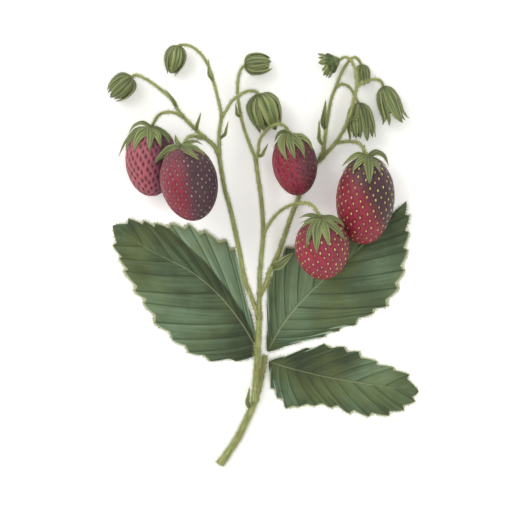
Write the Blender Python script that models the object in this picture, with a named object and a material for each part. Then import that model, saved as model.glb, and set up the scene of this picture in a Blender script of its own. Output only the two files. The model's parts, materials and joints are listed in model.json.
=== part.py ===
"""A picked sprig of strawberry plant, lying on a table.

One fruiting stalk with five ripe berries and eight green buds lies over the
three-part leaf that grew beside it. The origin is on the table, under the
middle of the sprig: +X to the sprig's right, +Y towards the buds, +Z up.
"""

import math

import bmesh
import bpy
from mathutils import Matrix, Vector

# ---------------------------------------------------------------- driving dimensions, in metres
MM = 0.001
GAP = 0.3 * MM                  # air left between two pieces that touch
FINE_STEP = 0.5 * MM            # how finely a stem's curve is sampled before it is trimmed

MAIN_RADIUS = 1.35 * MM
STEM_RADIUS = 1.05 * MM
BRANCH_RADIUS = 0.85 * MM
PEDICEL_RADIUS = 0.65 * MM      # the thin stalk that carries one berry or one bud
PETIOLE_RADIUS = 1.6 * MM       # the leaf's stalk

BLADE_THICKNESS = 0.5 * MM
LEAF_CROWN = 2.2 * MM           # how high a leaflet's midrib stands over its flat margin
TOOTH_DEPTH = 2.4 * MM
LEAF_STRIPS = 8                 # bands that a leaflet bends in, from base to tip

BERRY_SIDES = 16
BERRY_RINGS = 9
BERRY_TAPER = 0.06              # 0 is an egg of even ends, more gives a broader shoulder
CALYX_THICKNESS = 0.6 * MM
CALYX_LIFT = 0.35 * MM          # keeps the calyx's flat facets off the berry's round skin
BUD_SIDES = 10
BRACT_THICKNESS = 0.5 * MM


# ---------------------------------------------------------------- materials
def material(name, colour, roughness):
    """A plain plant surface: no metal, one colour."""
    found = bpy.data.materials.get(name)
    if found:
        return found
    made = bpy.data.materials.new(name)
    made.use_nodes = True
    shader = made.node_tree.nodes["Principled BSDF"]
    shader.inputs["Base Color"].default_value = (*colour, 1.0)
    shader.inputs["Roughness"].default_value = roughness
    shader.inputs["Metallic"].default_value = 0.0
    return made


def stem_green():
    return material("stem_green", (0.33, 0.40, 0.13), 0.55)


def leaf_green():
    return material("leaf_green", (0.10, 0.17, 0.08), 0.6)


def sepal_green():
    return material("sepal_green", (0.16, 0.27, 0.08), 0.55)


def bud_green():
    return material("bud_green", (0.15, 0.22, 0.07), 0.6)


def berry_red():
    return material("berry_red", (0.35, 0.03, 0.05), 0.35)


# ---------------------------------------------------------------- shared shaping
def mm(*values):
    """A point written in millimetres."""
    return Vector(values) * MM


def add_object(name, data, surface, place, parent):
    """One named sub-part, placed under the sprig's empty."""
    data.materials.append(surface)
    made = bpy.data.objects.new(name, data)
    bpy.context.scene.collection.objects.link(made)
    made.parent = parent
    made.matrix_world = place
    return made


def finish_mesh(name, bm):
    """Close the bmesh into a mesh that is shaded smooth up to its real edges."""
    bmesh.ops.recalc_face_normals(bm, faces=bm.faces)
    mesh = bpy.data.meshes.new(name)
    bm.to_mesh(mesh)
    bm.free()
    mesh.shade_smooth()
    mesh.set_sharp_from_angle(angle=math.radians(50))
    return mesh


def axis_frame(low, high):
    """The place of a turned piece: its own +Z runs from low to high, its origin halfway."""
    turn = (high - low).to_track_quat("Z", "Y")
    return Matrix.Translation((low + high) / 2) @ turn.to_matrix().to_4x4()


def turned(profile, sides):
    """Spin a list of (radius, height) about Z. The first and last points lie on the axis."""
    bm = bmesh.new()
    points = [bm.verts.new((radius, 0, height)) for radius, height in profile]
    edges = [bm.edges.new(pair) for pair in zip(points, points[1:])]
    bmesh.ops.spin(bm, geom=points + edges, cent=(0, 0, 0), axis=(0, 0, 1),
                   angle=2 * math.pi, steps=sides, use_merge=True)
    bmesh.ops.remove_doubles(bm, verts=bm.verts, dist=0.01 * MM)
    return bm


def rest_on_table(bm, place):
    """Flatten the underside where the piece bears on the table, z = 0."""
    to_own = place.inverted()
    geometry = bm.verts[:] + bm.edges[:] + bm.faces[:]
    cut = bmesh.ops.bisect_plane(bm, geom=geometry, plane_co=to_own @ Vector((0, 0, 0)),
                                 plane_no=to_own.to_3x3() @ Vector((0, 0, -1)),
                                 dist=0.001 * MM, clear_outer=True)
    rim = [item for item in cut["geom_cut"] if isinstance(item, bmesh.types.BMEdge)]
    if rim:
        bmesh.ops.contextual_create(bm, geom=rim)


# ---------------------------------------------------------------- stems
def curve_through(points, step=FINE_STEP):
    """A smooth curve through the route's own points, read every step."""
    ends = [2 * points[0] - points[1], *points, 2 * points[-1] - points[-2]]
    read = []
    for before, start, end, after in zip(ends, ends[1:], ends[2:], ends[3:]):
        count = max(1, round((end - start).length / step))
        for k in range(count):
            t = k / count
            read.append(0.5 * (2 * start + (end - before) * t
                               + (2 * before - 5 * start + 4 * end - after) * t ** 2
                               + (3 * start - before - 3 * end + after) * t ** 3))
    return read + [points[-1]]


def clear_of(route, radius, stems):
    """Start a branch where it first stands clear of the stems that it grew from."""
    for other, other_radius in stems:
        reach = radius + other_radius + GAP
        first = next(k for k, point in enumerate(route)
                     if min((point - there).length for there in other) >= reach)
        route = route[first:]
    return route


def stem(name, points, radii, parent, step, grew_from=(), sides=1):
    """A tapering round stem along a smooth route, with flat ends."""
    route = clear_of(curve_through(points), max(radii), grew_from)
    stride = max(1, round(step / FINE_STEP))
    kept = route[:-1:stride]
    if (kept[-1] - route[-1]).length < step / 2 and len(kept) > 2:
        kept.pop()
    kept.append(route[-1])
    start = kept[0].copy()
    data = bpy.data.curves.new(name, "CURVE")
    data.dimensions = "3D"
    data.bevel_depth = 1.0
    data.bevel_resolution = sides
    data.use_fill_caps = True
    line = data.splines.new("POLY")
    line.points.add(len(kept) - 1)
    for k, (point, there) in enumerate(zip(line.points, kept)):
        point.co = (*(there - start), 1.0)
        point.radius = radii[0] + (radii[1] - radii[0]) * k / (len(kept) - 1)
    line.use_smooth = True
    add_object(name, data, stem_green(), Matrix.Translation(start), parent)
    return route, max(radii)


# ---------------------------------------------------------------- leaflets
def toothed_side(base, teeth, tip):
    """One side of a leaflet's outline: each tooth points at the tip, and the edge cuts back behind it."""
    run = [*teeth, tip]
    middle = (base + tip) / 2
    outline = []
    for tooth, following in zip(run, run[1:]):
        outline.append(tooth)
        inward = (middle - tooth).normalized()
        outline.append(tooth + (following - tooth) * 0.25 + inward * TOOTH_DEPTH)
    return outline


def leaflet(name, base, tip, upper, lower, half_width, parent):
    """A toothed blade whose margin lies on the table and whose midrib stands up in a low ridge."""
    start, end = mm(*base, 0), mm(*tip, 0)
    near = toothed_side(start, [mm(*point, 0) for point in upper], end)
    far = toothed_side(start, [mm(*point, 0) for point in lower], end)
    bm = bmesh.new()
    ring = [bm.verts.new(point - start) for point in [start, *near, end, *reversed(far)]]
    bm.faces.new(ring)
    along = (end - start).normalized()
    across = Vector((-along.y, along.x, 0))
    length = (end - start).length
    cuts = [(Vector(), across)]
    cuts += [(along * length * k / LEAF_STRIPS, along) for k in range(1, LEAF_STRIPS)]
    cuts += [(across * half_width * MM * side, across) for side in (-1, 1)]
    for point, normal in cuts:
        bmesh.ops.bisect_plane(bm, geom=bm.verts[:] + bm.edges[:] + bm.faces[:],
                               plane_co=point, plane_no=normal, dist=0.01 * MM)
    for vert in bm.verts:
        aside = min(1.0, abs(vert.co.dot(across)) / (half_width * MM))
        near_tip = min(1.0, max(0.0, 1.0 - vert.co.dot(along) / length))
        vert.co.z = LEAF_CROWN * (1 - aside) * near_tip
    bmesh.ops.triangulate(bm, faces=bm.faces)
    up = [face for face in bm.faces if face.normal.z < 0]
    bmesh.ops.reverse_faces(bm, faces=up)
    under = bm.faces[:]
    raised = bmesh.ops.extrude_face_region(bm, geom=under)
    top = [item for item in raised["geom"] if isinstance(item, bmesh.types.BMVert)]
    bmesh.ops.translate(bm, verts=top, vec=(0, 0, BLADE_THICKNESS))
    add_object(name, finish_mesh(name, bm), leaf_green(), Matrix.Translation(start), parent)


# ---------------------------------------------------------------- berries and their calyces
def berry_point(length, radius, angle):
    """Radius and height of the berry's skin at an angle from its top pole."""
    swell = 1 + BERRY_TAPER * math.cos(angle)
    return radius * math.sin(angle) * swell, length / 2 * math.cos(angle)


def berry(name, top, tip, radius, parent):
    """A cone-shaped berry, turned about the line from its calyx to its tip."""
    place = axis_frame(tip, top)
    length = (top - tip).length
    steps = [math.pi * k / BERRY_RINGS for k in range(BERRY_RINGS + 1)]
    profile = [berry_point(length, radius, angle) for angle in steps]
    bm = turned(profile, BERRY_SIDES)
    rest_on_table(bm, place)
    add_object(name, finish_mesh(name, bm), berry_red(), place, parent)


def calyx(name, top, tip, radius, reach, flare, parent):
    """A star of ten pointed sepals, long and short in turn, that follows the berry's shoulder."""
    place = axis_frame(tip, top)
    length = (top - tip).length
    bm = bmesh.new()

    def on_shoulder(angle, turn, lift):
        out, height = berry_point(length, radius, angle)
        clear = GAP + CALYX_LIFT + lift
        return Vector(((out + clear * math.sin(angle)) * math.cos(turn),
                       (out + clear * math.sin(angle)) * math.sin(turn),
                       height + clear * math.cos(angle) + clear * 0.6))

    sepals = 10
    crown = bm.verts.new(on_shoulder(0, 0, 0))
    hub = [bm.verts.new(on_shoulder(0.3, math.tau * k / sepals, 0)) for k in range(sepals)]
    for k in range(sepals):
        middle = math.tau * (k + 0.5) / sepals
        spread = math.tau / sepals * 0.36
        end = reach if k % 2 == 0 else reach * 0.8
        halfway = 0.3 + (end - 0.3) * 0.5
        pair = [hub[k], hub[(k + 1) % sepals]]
        bm.faces.new([crown, *pair])
        lifts = [0.25 * flare, flare]
        wide = [bm.verts.new(on_shoulder(halfway, middle + side * spread, lifts[0] + 0.2 * MM))
                for side in (-1, 1)]
        point = bm.verts.new(on_shoulder(end, middle, lifts[1] + 0.2 * MM))
        bm.faces.new([pair[0], wide[0], wide[1], pair[1]])
        bm.faces.new([wide[0], point, wide[1]])
    bmesh.ops.triangulate(bm, faces=bm.faces)
    bmesh.ops.recalc_face_normals(bm, faces=bm.faces)
    if sum(face.normal.z for face in bm.faces) < 0:
        bmesh.ops.reverse_faces(bm, faces=bm.faces)
    mesh = bpy.data.meshes.new(name)
    bm.to_mesh(mesh)
    bm.free()
    made = add_object(name, mesh, sepal_green(), place, parent)
    shell = made.modifiers.new("thickness", "SOLIDIFY")
    shell.thickness = CALYX_THICKNESS
    shell.offset = 1.0


def fruit(number, top, tip, radius, reach, flare, parent):
    """A berry with its calyx. It gives back the place where its stalk ends."""
    top, tip = mm(*top), mm(*tip)
    berry(f"berry_{number}", top, tip, radius * MM, parent)
    calyx(f"calyx_{number}", top, tip, radius * MM, reach, flare * MM, parent)
    return top + (top - tip).normalized() * (1.6 * CALYX_LIFT + CALYX_THICKNESS + 3 * GAP + PEDICEL_RADIUS)


# ---------------------------------------------------------------- buds
CLOSED_BUD = [(0.0, 0.0), (0.3, 0.0), (0.72, 0.12), (0.96, 0.32), (1.0, 0.5),
              (0.84, 0.74), (0.5, 0.94), (0.25, 1.0), (0.0, 0.97)]
OPEN_FAN = [(0.0, 0.0), (0.28, 0.0), (0.5, 0.2), (0.78, 0.6), (1.0, 1.0), (0.4, 0.8), (0.0, 0.7)]


def bud(name, top, mouth, radius, shape, parent):
    """A green bud: its sepals closed round the young fruit. It gives back where its stalk ends."""
    top, mouth = mm(*top), mm(*mouth)
    length = (mouth - top).length
    place = axis_frame(top, mouth)
    profile = [(out * radius * MM, (along - 0.5) * length) for out, along in shape]
    bm = turned(profile, BUD_SIDES)
    rest_on_table(bm, place)
    add_object(name, finish_mesh(name, bm), bud_green(), place, parent)
    return top - (mouth - top).normalized() * (GAP + PEDICEL_RADIUS)


# ---------------------------------------------------------------- bracts
def bract(name, foot, point, width, parent):
    """A small pointed leaf at a fork: a lozenge blade, thick enough to stand."""
    foot, point = mm(*foot), mm(*point)
    place = axis_frame(foot, point)
    length = (point - foot).length
    bm = bmesh.new()
    outline = [(-0.25, -0.5), (0.25, -0.5), (0.5, 0.0), (0.0, 0.5), (-0.5, 0.0)]
    face = bm.faces.new([bm.verts.new((x * width * MM, -BRACT_THICKNESS / 2, z * length))
                         for x, z in outline])
    grown = bmesh.ops.extrude_face_region(bm, geom=[face])
    moved = [item for item in grown["geom"] if isinstance(item, bmesh.types.BMVert)]
    bmesh.ops.translate(bm, verts=moved, vec=(0, BRACT_THICKNESS, 0))
    add_object(name, finish_mesh(name, bm), sepal_green(), place, parent)


# ---------------------------------------------------------------- the sprig
def build():
    for old in list(bpy.data.objects):
        bpy.data.objects.remove(old)
    sprig = bpy.data.objects.new("sprig", None)
    bpy.context.scene.collection.objects.link(sprig)

    # The leaf: three toothed leaflets round the end of one stalk.
    leaflet("leaflet_left", (-2.0, -49.5), (-75.8, 14.8),
            [(-7.0, -27.5), (-12.0, -10.0), (-14.5, 4.0), (-19.0, 8.0), (-30.0, 12.5),
             (-38.0, 16.0), (-47.0, 16.3), (-55.0, 16.3), (-60.5, 17.5), (-68.0, 18.5)],
            [(-14.0, -53.5), (-27.0, -53.5), (-38.0, -49.0), (-46.5, -42.5), (-55.5, -34.0),
             (-61.0, -24.0), (-65.5, -18.0), (-70.5, -8.0), (-73.0, -1.5), (-76.0, 5.0)],
            23, sprig)
    leaflet("leaflet_end", (2.0, -48.5), (71.8, 27.0),
            [(2.0, -37.5), (1.8, -22.5), (1.5, -12.5), (6.0, -1.5), (11.5, 4.5), (20.0, 7.5),
             (31.0, 9.5), (42.0, 10.5), (53.0, 13.0), (63.0, 20.0)],
            [(9.5, -46.5), (18.0, -44.0), (31.0, -41.0), (38.5, -38.0), (47.0, -35.0),
             (56.0, -29.0), (63.0, -25.5), (68.5, -16.5), (71.5, -7.5), (73.0, 2.5),
             (73.5, 11.5), (73.5, 20.0)],
            24, sprig)
    leaflet("leaflet_right", (3.0, -53.5), (78.0, -68.5),
            [(10.5, -51.0), (22.0, -46.5), (31.0, -44.5), (41.0, -46.0), (48.5, -48.5),
             (57.5, -53.5), (66.0, -56.5), (73.5, -60.0)],
            [(3.8, -60.0), (3.8, -67.0), (7.0, -72.0), (11.5, -77.5), (18.5, -76.5),
             (26.5, -76.0), (34.5, -77.0), (43.5, -80.0), (53.5, -81.5), (63.5, -81.0),
             (71.0, -78.0), (76.5, -73.5)],
            13, sprig)
    stem("petiole", [mm(-22.3, -105.5, 1.6), mm(-18.3, -100.0, 1.6), mm(-12.8, -91.5, 1.6),
                     mm(-7.8, -81.5, 1.7), mm(-3.8, -71.5, 1.9), mm(-1.2, -61.5, 2.4),
                     mm(0.2, -53.5, 2.9)],
         (PETIOLE_RADIUS, PETIOLE_RADIUS * 0.85), sprig, 7 * MM, sides=2)

    # The stalk and its three stems, each split where it forks.
    fork = mm(-2.2, -32.0, 10.5)
    main = stem("main_stalk", [mm(-4.5, -73.0, 5.4), mm(-3.8, -62.5, 7.2), mm(-3.0, -50.0, 9.0),
                               mm(-2.5, -40.0, 10.0), fork],
                (MAIN_RADIUS, MAIN_RADIUS), sprig, 7 * MM, sides=2)
    middle = stem("middle_stem", [fork + mm(0, 0.35, 0.05), mm(-2.0, -20.0, 12.0), mm(-1.8, -10.0, 12.0),
                                  mm(-1.0, 0.0, 12.0), mm(-0.2, 10.0, 12.0), mm(-0.5, 21.0, 12.0),
                                  mm(-1.5, 31.0, 12.0), mm(-3.0, 41.0, 12.0), mm(-3.8, 47.5, 12.0)],
                  (STEM_RADIUS, STEM_RADIUS * 0.85), sprig, 7 * MM)
    left = stem("left_stem", [fork, mm(-3.8, -27.0, 11.0), mm(-6.8, -19.0, 12.5), mm(-9.2, -12.5, 13.5),
                              mm(-11.8, 1.0, 15.5), mm(-14.2, 12.5, 17.0), mm(-16.8, 24.0, 18.3),
                              mm(-19.0, 31.5, 19.0), mm(-20.8, 41.0, 19.5), mm(-22.2, 50.0, 19.5)],
                (STEM_RADIUS, STEM_RADIUS * 0.9), sprig, 7 * MM, [main, middle])
    right = stem("right_stem", [mm(-2.0, -20.0, 12.0), mm(1.2, -14.5, 11.5), mm(3.2, -8.0, 10.5),
                                mm(6.8, -1.0, 9.0), mm(10.2, 8.5, 7.5), mm(13.8, 19.0, 5.0),
                                mm(17.8, 29.0, 2.8), mm(21.2, 37.5, 1.9), mm(24.8, 44.0, 2.0),
                                mm(28.8, 48.5, 3.0)],
                 (STEM_RADIUS, STEM_RADIUS * 0.9), sprig, 7 * MM, [middle])

    # The berries.
    end_1 = fruit(1, (-55.9, 64.0, 13.2), (-55.9, 29.3, 12.0), 13.1, 1.1, 0.3, sprig)
    end_2 = fruit(2, (-40.4, 53.6, 34.4), (-32.9, 17.0, 32.0), 14.2, 1.1, 0.3, sprig)
    end_3 = fruit(3, (13.4, 60.0, 18.0), (17.9, 29.7, 14.5), 11.2, 1.3, 0.3, sprig)
    end_4 = fruit(4, (52.2, 48.5, 17.8), (49.2, 5.5, 10.0), 14.6, 0.95, 1.2, sprig)
    end_5 = fruit(5, (28.4, 18.2, 28.0), (30.0, -11.5, 16.4), 13.6, 1.3, 0.6, sprig)

    # The buds.
    end_a = bud("bud_a", (-66.2, 88.5, 8.2), (-77.2, 79.0, 4.6), 6.4, CLOSED_BUD, sprig)
    end_b = bud("bud_b", (-42.8, 104.5, 8.0), (-46.2, 91.5, 5.2), 5.4, CLOSED_BUD, sprig)
    end_c = bud("bud_c", (-9.0, 95.2, 8.2), (3.0, 96.2, 5.4), 5.5, CLOSED_BUD, sprig)
    end_d = bud("bud_d", (-1.8, 79.8, 12.6), (2.8, 63.8, 7.6), 7.9, CLOSED_BUD, sprig)
    end_e = bud("bud_e", (37.8, 97.6, 9.5), (30.0, 94.8, 6.2), 5.6, OPEN_FAN, sprig)
    end_f = bud("bud_f", (49.4, 95.0, 6.6), (49.8, 86.8, 4.4), 3.8, CLOSED_BUD, sprig)
    end_g = bud("bud_g", (47.4, 76.0, 8.4), (49.4, 60.0, 6.2), 6.6, CLOSED_BUD, sprig)
    end_h = bud("bud_h", (60.0, 84.0, 9.6), (65.2, 69.5, 5.8), 6.6, CLOSED_BUD, sprig)

    # The left stem's branches.
    top_left = mm(-22.2, 50.0, 19.5)
    branch = stem("left_branch", [top_left, mm(-24.8, 54.5, 19.3), mm(-28.2, 57.5, 19.0),
                                  mm(-31.8, 60.5, 19.0), mm(-36.8, 65.5, 19.5), mm(-40.2, 69.0, 19.5)],
                  (BRANCH_RADIUS, BRANCH_RADIUS * 0.85), sprig, 4.5 * MM, [left])
    crown = stem("left_top", [top_left, mm(-22.0, 54.0, 19.5), mm(-22.0, 61.0, 19.0),
                              mm(-21.2, 66.5, 18.5), mm(-20.8, 69.0, 18.0)],
                 (BRANCH_RADIUS, BRANCH_RADIUS * 0.9), sprig, 5 * MM, [left, branch])
    fork_a = mm(-40.2, 69.0, 19.5)
    stem_a = stem("bud_stem_a", [fork_a, mm(-42.8, 72.5, 19.0), mm(-45.8, 77.5, 17.5),
                                 mm(-53.2, 84.0, 15.0), mm(-59.8, 88.5, 12.0), end_a],
                  (PEDICEL_RADIUS, PEDICEL_RADIUS), sprig, 4.5 * MM, [branch])
    stem("pedicel_1", [fork_a, mm(-43.8, 70.5, 21.0), mm(-48.2, 71.0, 20.4), mm(-52.4, 69.4, 17.4), end_1],
         (PEDICEL_RADIUS, PEDICEL_RADIUS), sprig, 3 * MM, [branch, stem_a])
    stem("pedicel_2", [mm(-29.5, 58.6, 19.0), mm(-31.6, 58.2, 23.5), mm(-34.4, 58.8, 30.0),
                       mm(-37.4, 57.8, 34.0), end_2],
         (PEDICEL_RADIUS, PEDICEL_RADIUS), sprig, 2.5 * MM, [branch])
    fork_b = mm(-20.8, 69.0, 18.0)
    stem_b = stem("bud_stem_b", [fork_b, mm(-21.5, 73.0, 17.0), mm(-23.2, 80.0, 16.0),
                                 mm(-25.2, 87.5, 14.0), mm(-27.8, 95.0, 12.0), mm(-31.8, 101.0, 10.8),
                                 mm(-36.8, 104.8, 10.0), end_b],
                  (PEDICEL_RADIUS, PEDICEL_RADIUS), sprig, 4.5 * MM, [crown])
    stem("bud_stem_d", [fork_b, mm(-18.8, 71.5, 18.0), mm(-16.2, 76.0, 18.0), mm(-12.8, 79.0, 18.0),
                        mm(-8.2, 81.5, 17.0), mm(-4.4, 81.6, 15.0), end_d],
         (PEDICEL_RADIUS, PEDICEL_RADIUS), sprig, 3.5 * MM, [crown, stem_b])

    # The middle stem's branches.
    top_middle = mm(-3.8, 47.5, 12.0)
    stem_c = stem("bud_stem_c", [top_middle, mm(-5.2, 51.0, 12.0), mm(-7.0, 55.5, 12.0), mm(-9.2, 61.5, 12.0),
                                 mm(-11.2, 69.0, 12.0), mm(-12.8, 79.0, 11.5), mm(-12.8, 87.0, 10.5),
                                 mm(-11.4, 92.5, 9.2), end_c],
                  (BRANCH_RADIUS * 0.85, PEDICEL_RADIUS), sprig, 5 * MM, [middle])
    stem("pedicel_3", [top_middle, mm(-2.6, 52.0, 13.2), mm(-2.0, 57.0, 15.0), mm(1.0, 61.5, 18.0),
                       mm(5.5, 64.8, 20.5), mm(9.8, 64.6, 20.5), end_3],
         (PEDICEL_RADIUS, PEDICEL_RADIUS), sprig, 3 * MM, [middle, stem_c])
    stem("pedicel_5", [mm(-0.2, 10.0, 12.0), mm(1.6, 13.5, 13.5), mm(3.8, 17.0, 15.5), mm(7.8, 21.5, 19.0),
                       mm(12.8, 24.4, 23.4), mm(18.2, 25.6, 27.8), mm(23.8, 24.8, 31.0), end_5],
         (PEDICEL_RADIUS, PEDICEL_RADIUS), sprig, 4 * MM, [middle])

    # The right stem's branches, which cross over one another at the top.
    top_right = mm(28.8, 48.5, 3.0)
    tall = stem("right_branch_f", [top_right, mm(30.0, 52.5, 4.0), mm(30.8, 58.5, 5.0), mm(31.8, 66.0, 6.0),
                                   mm(33.8, 77.5, 7.0), mm(36.2, 84.0, 8.0), mm(39.2, 91.5, 8.6),
                                   mm(42.8, 97.0, 9.2), mm(46.2, 99.0, 9.0), end_f],
                (BRANCH_RADIUS, PEDICEL_RADIUS * 0.9), sprig, 5 * MM, [right])
    bent = stem("right_branch_e", [top_right, mm(32.2, 51.8, 4.2), mm(36.0, 56.0, 5.5), mm(40.2, 62.5, 7.5),
                                   mm(43.0, 69.5, 14.2), mm(44.8, 76.5, 16.4), mm(46.4, 84.0, 16.0),
                                   mm(46.3, 90.0, 15.5), mm(44.6, 95.5, 14.0), mm(41.4, 98.8, 12.0), end_e],
                (BRANCH_RADIUS, PEDICEL_RADIUS * 0.9), sprig, 5 * MM, [right, tall])
    stem("bud_stem_g", [mm(36.2, 84.0, 8.0), mm(39.6, 85.4, 9.5), mm(43.0, 83.8, 10.4), end_g],
         (PEDICEL_RADIUS * 0.9, PEDICEL_RADIUS * 0.9), sprig, 3 * MM, [tall])
    stem("bud_stem_h", [mm(46.4, 84.0, 16.0), mm(49.6, 85.6, 16.0), mm(54.2, 87.6, 15.0), mm(58.4, 87.0, 12.6), end_h],
         (PEDICEL_RADIUS * 0.9, PEDICEL_RADIUS * 0.9), sprig, 3 * MM, [bent])
    stem("pedicel_4", [mm(36.0, 56.0, 5.5), mm(39.6, 56.6, 8.5), mm(43.4, 56.6, 13.0), mm(48.0, 55.2, 19.0), end_4],
         (PEDICEL_RADIUS, PEDICEL_RADIUS), sprig, 3 * MM, [bent])

    # Stipule and bracts: small pointed leaves at the forks.
    bract("stipule", (-8.2, -75.5, 4.4), (-7.0, -66.0, 5.6), 2.6, sprig)
    bract("bract_leafy", (6.8, -5.8, 14.0), (15.2, 1.6, 14.6), 5.0, sprig)
    bract("bract_1", (-33.6, 62.4, 21.2), (-31.0, 71.0, 22.0), 2.0, sprig)
    bract("bract_2", (-43.6, 74.6, 21.0), (-49.0, 82.6, 20.0), 2.2, sprig)
    bract("bract_3", (-27.0, 88.2, 16.6), (-27.4, 98.0, 15.0), 1.8, sprig)
    bract("bract_4", (-19.6, 58.6, 21.0), (-17.4, 66.8, 21.8), 1.8, sprig)
    bract("bract_5", (-13.0, 69.0, 13.6), (-14.0, 75.6, 14.4), 1.8, sprig)
    bract("bract_6", (-1.4, 48.6, 15.2), (2.4, 55.8, 12.4), 2.0, sprig)
    bract("bract_7", (28.0, 56.0, 5.2), (27.8, 68.0, 6.4), 2.2, sprig)
    bract("bract_8", (29.6, 64.0, 8.2), (31.2, 78.0, 10.0), 2.4, sprig)
    bract("bract_9", (45.6, 66.8, 15.6), (47.4, 76.0, 18.8), 1.8, sprig)


build()
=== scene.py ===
import json
import math
import random

import bmesh
import bpy
from mathutils import Matrix, Vector
from mathutils.kdtree import KDTree

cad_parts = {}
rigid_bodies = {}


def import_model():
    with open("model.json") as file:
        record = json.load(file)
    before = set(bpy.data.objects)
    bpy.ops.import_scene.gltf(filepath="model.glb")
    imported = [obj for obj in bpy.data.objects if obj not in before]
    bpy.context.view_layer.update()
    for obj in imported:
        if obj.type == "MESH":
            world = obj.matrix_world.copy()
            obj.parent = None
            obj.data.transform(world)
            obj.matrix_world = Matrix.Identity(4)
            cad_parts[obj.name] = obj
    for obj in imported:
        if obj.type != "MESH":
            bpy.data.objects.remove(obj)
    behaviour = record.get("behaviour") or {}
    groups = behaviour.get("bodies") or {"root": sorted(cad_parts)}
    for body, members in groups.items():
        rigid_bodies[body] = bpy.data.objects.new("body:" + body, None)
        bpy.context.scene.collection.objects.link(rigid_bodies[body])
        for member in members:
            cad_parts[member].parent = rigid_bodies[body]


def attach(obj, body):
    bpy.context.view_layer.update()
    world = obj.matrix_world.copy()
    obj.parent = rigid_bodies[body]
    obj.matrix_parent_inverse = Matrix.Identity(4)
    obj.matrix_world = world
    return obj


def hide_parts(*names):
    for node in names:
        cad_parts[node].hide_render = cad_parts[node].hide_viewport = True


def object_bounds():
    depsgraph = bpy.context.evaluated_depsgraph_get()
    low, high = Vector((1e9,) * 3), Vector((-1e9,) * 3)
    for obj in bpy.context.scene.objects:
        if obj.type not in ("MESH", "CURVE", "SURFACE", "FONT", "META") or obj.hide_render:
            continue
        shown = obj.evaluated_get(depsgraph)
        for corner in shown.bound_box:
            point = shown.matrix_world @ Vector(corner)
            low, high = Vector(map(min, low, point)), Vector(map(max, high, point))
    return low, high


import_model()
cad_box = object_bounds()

# ======================================================================== the stalks
# A strawberry's stalks are soft green stems, round and faintly ridged along their length, yellow-green
# where the light passes into them and flushed with brown here and there. The fruiting stalk forks three
# times on its way to its berries and buds, and each fork is a slight swelling of the same living tissue.
MM = 0.001
SIDES = 14
RING_STEP = 1.0 * MM

MAIN, STEM, BRANCH, PEDICEL, PETIOLE = 1.35 * MM, 1.05 * MM, 0.85 * MM, 0.65 * MM, 1.6 * MM

FORK = (-2.2, -32.0, 10.5)
TOP_LEFT = (-22.2, 50.0, 19.5)
FORK_A = (-40.2, 69.0, 19.5)
FORK_B = (-20.8, 69.0, 18.0)
TOP_MIDDLE = (-3.8, 47.5, 12.0)
TOP_RIGHT = (28.8, 48.5, 3.0)

# Each berry: the middle of its calyx, its tip, and its widest radius.
BERRIES = {
    1: ((-55.9, 64.0, 13.2), (-55.9, 29.3, 12.0), 13.1),
    2: ((-40.4, 53.6, 34.4), (-32.9, 17.0, 32.0), 14.2),
    3: ((13.4, 60.0, 18.0), (17.9, 29.7, 14.5), 11.2),
    4: ((52.2, 48.5, 17.8), (49.2, 5.5, 10.0), 14.6),
    5: ((28.4, 18.2, 28.0), (30.0, -11.5, 16.4), 13.6),
}
# Each bud: where its stalk joins it, its mouth, and its widest radius.
BUDS = {
    "a": ((-66.2, 88.5, 8.2), (-75.8, 80.3, 4.8), 6.1),
    "b": ((-42.8, 104.5, 8.0), (-46.2, 91.5, 5.2), 5.4),
    "c": ((-9.0, 95.2, 8.2), (3.0, 96.2, 5.4), 5.5),
    "d": ((-1.8, 79.8, 12.6), (2.8, 63.8, 7.6), 7.9),
    "e": ((37.8, 97.6, 9.5), (30.0, 94.8, 6.2), 5.6),
    "f": ((49.4, 95.0, 6.6), (49.8, 86.8, 4.4), 3.8),
    "g": ((47.4, 76.0, 8.4), (49.4, 60.0, 6.2), 6.6),
    "h": ((60.0, 84.0, 9.6), (65.2, 69.5, 5.8), 6.6),
}

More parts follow.
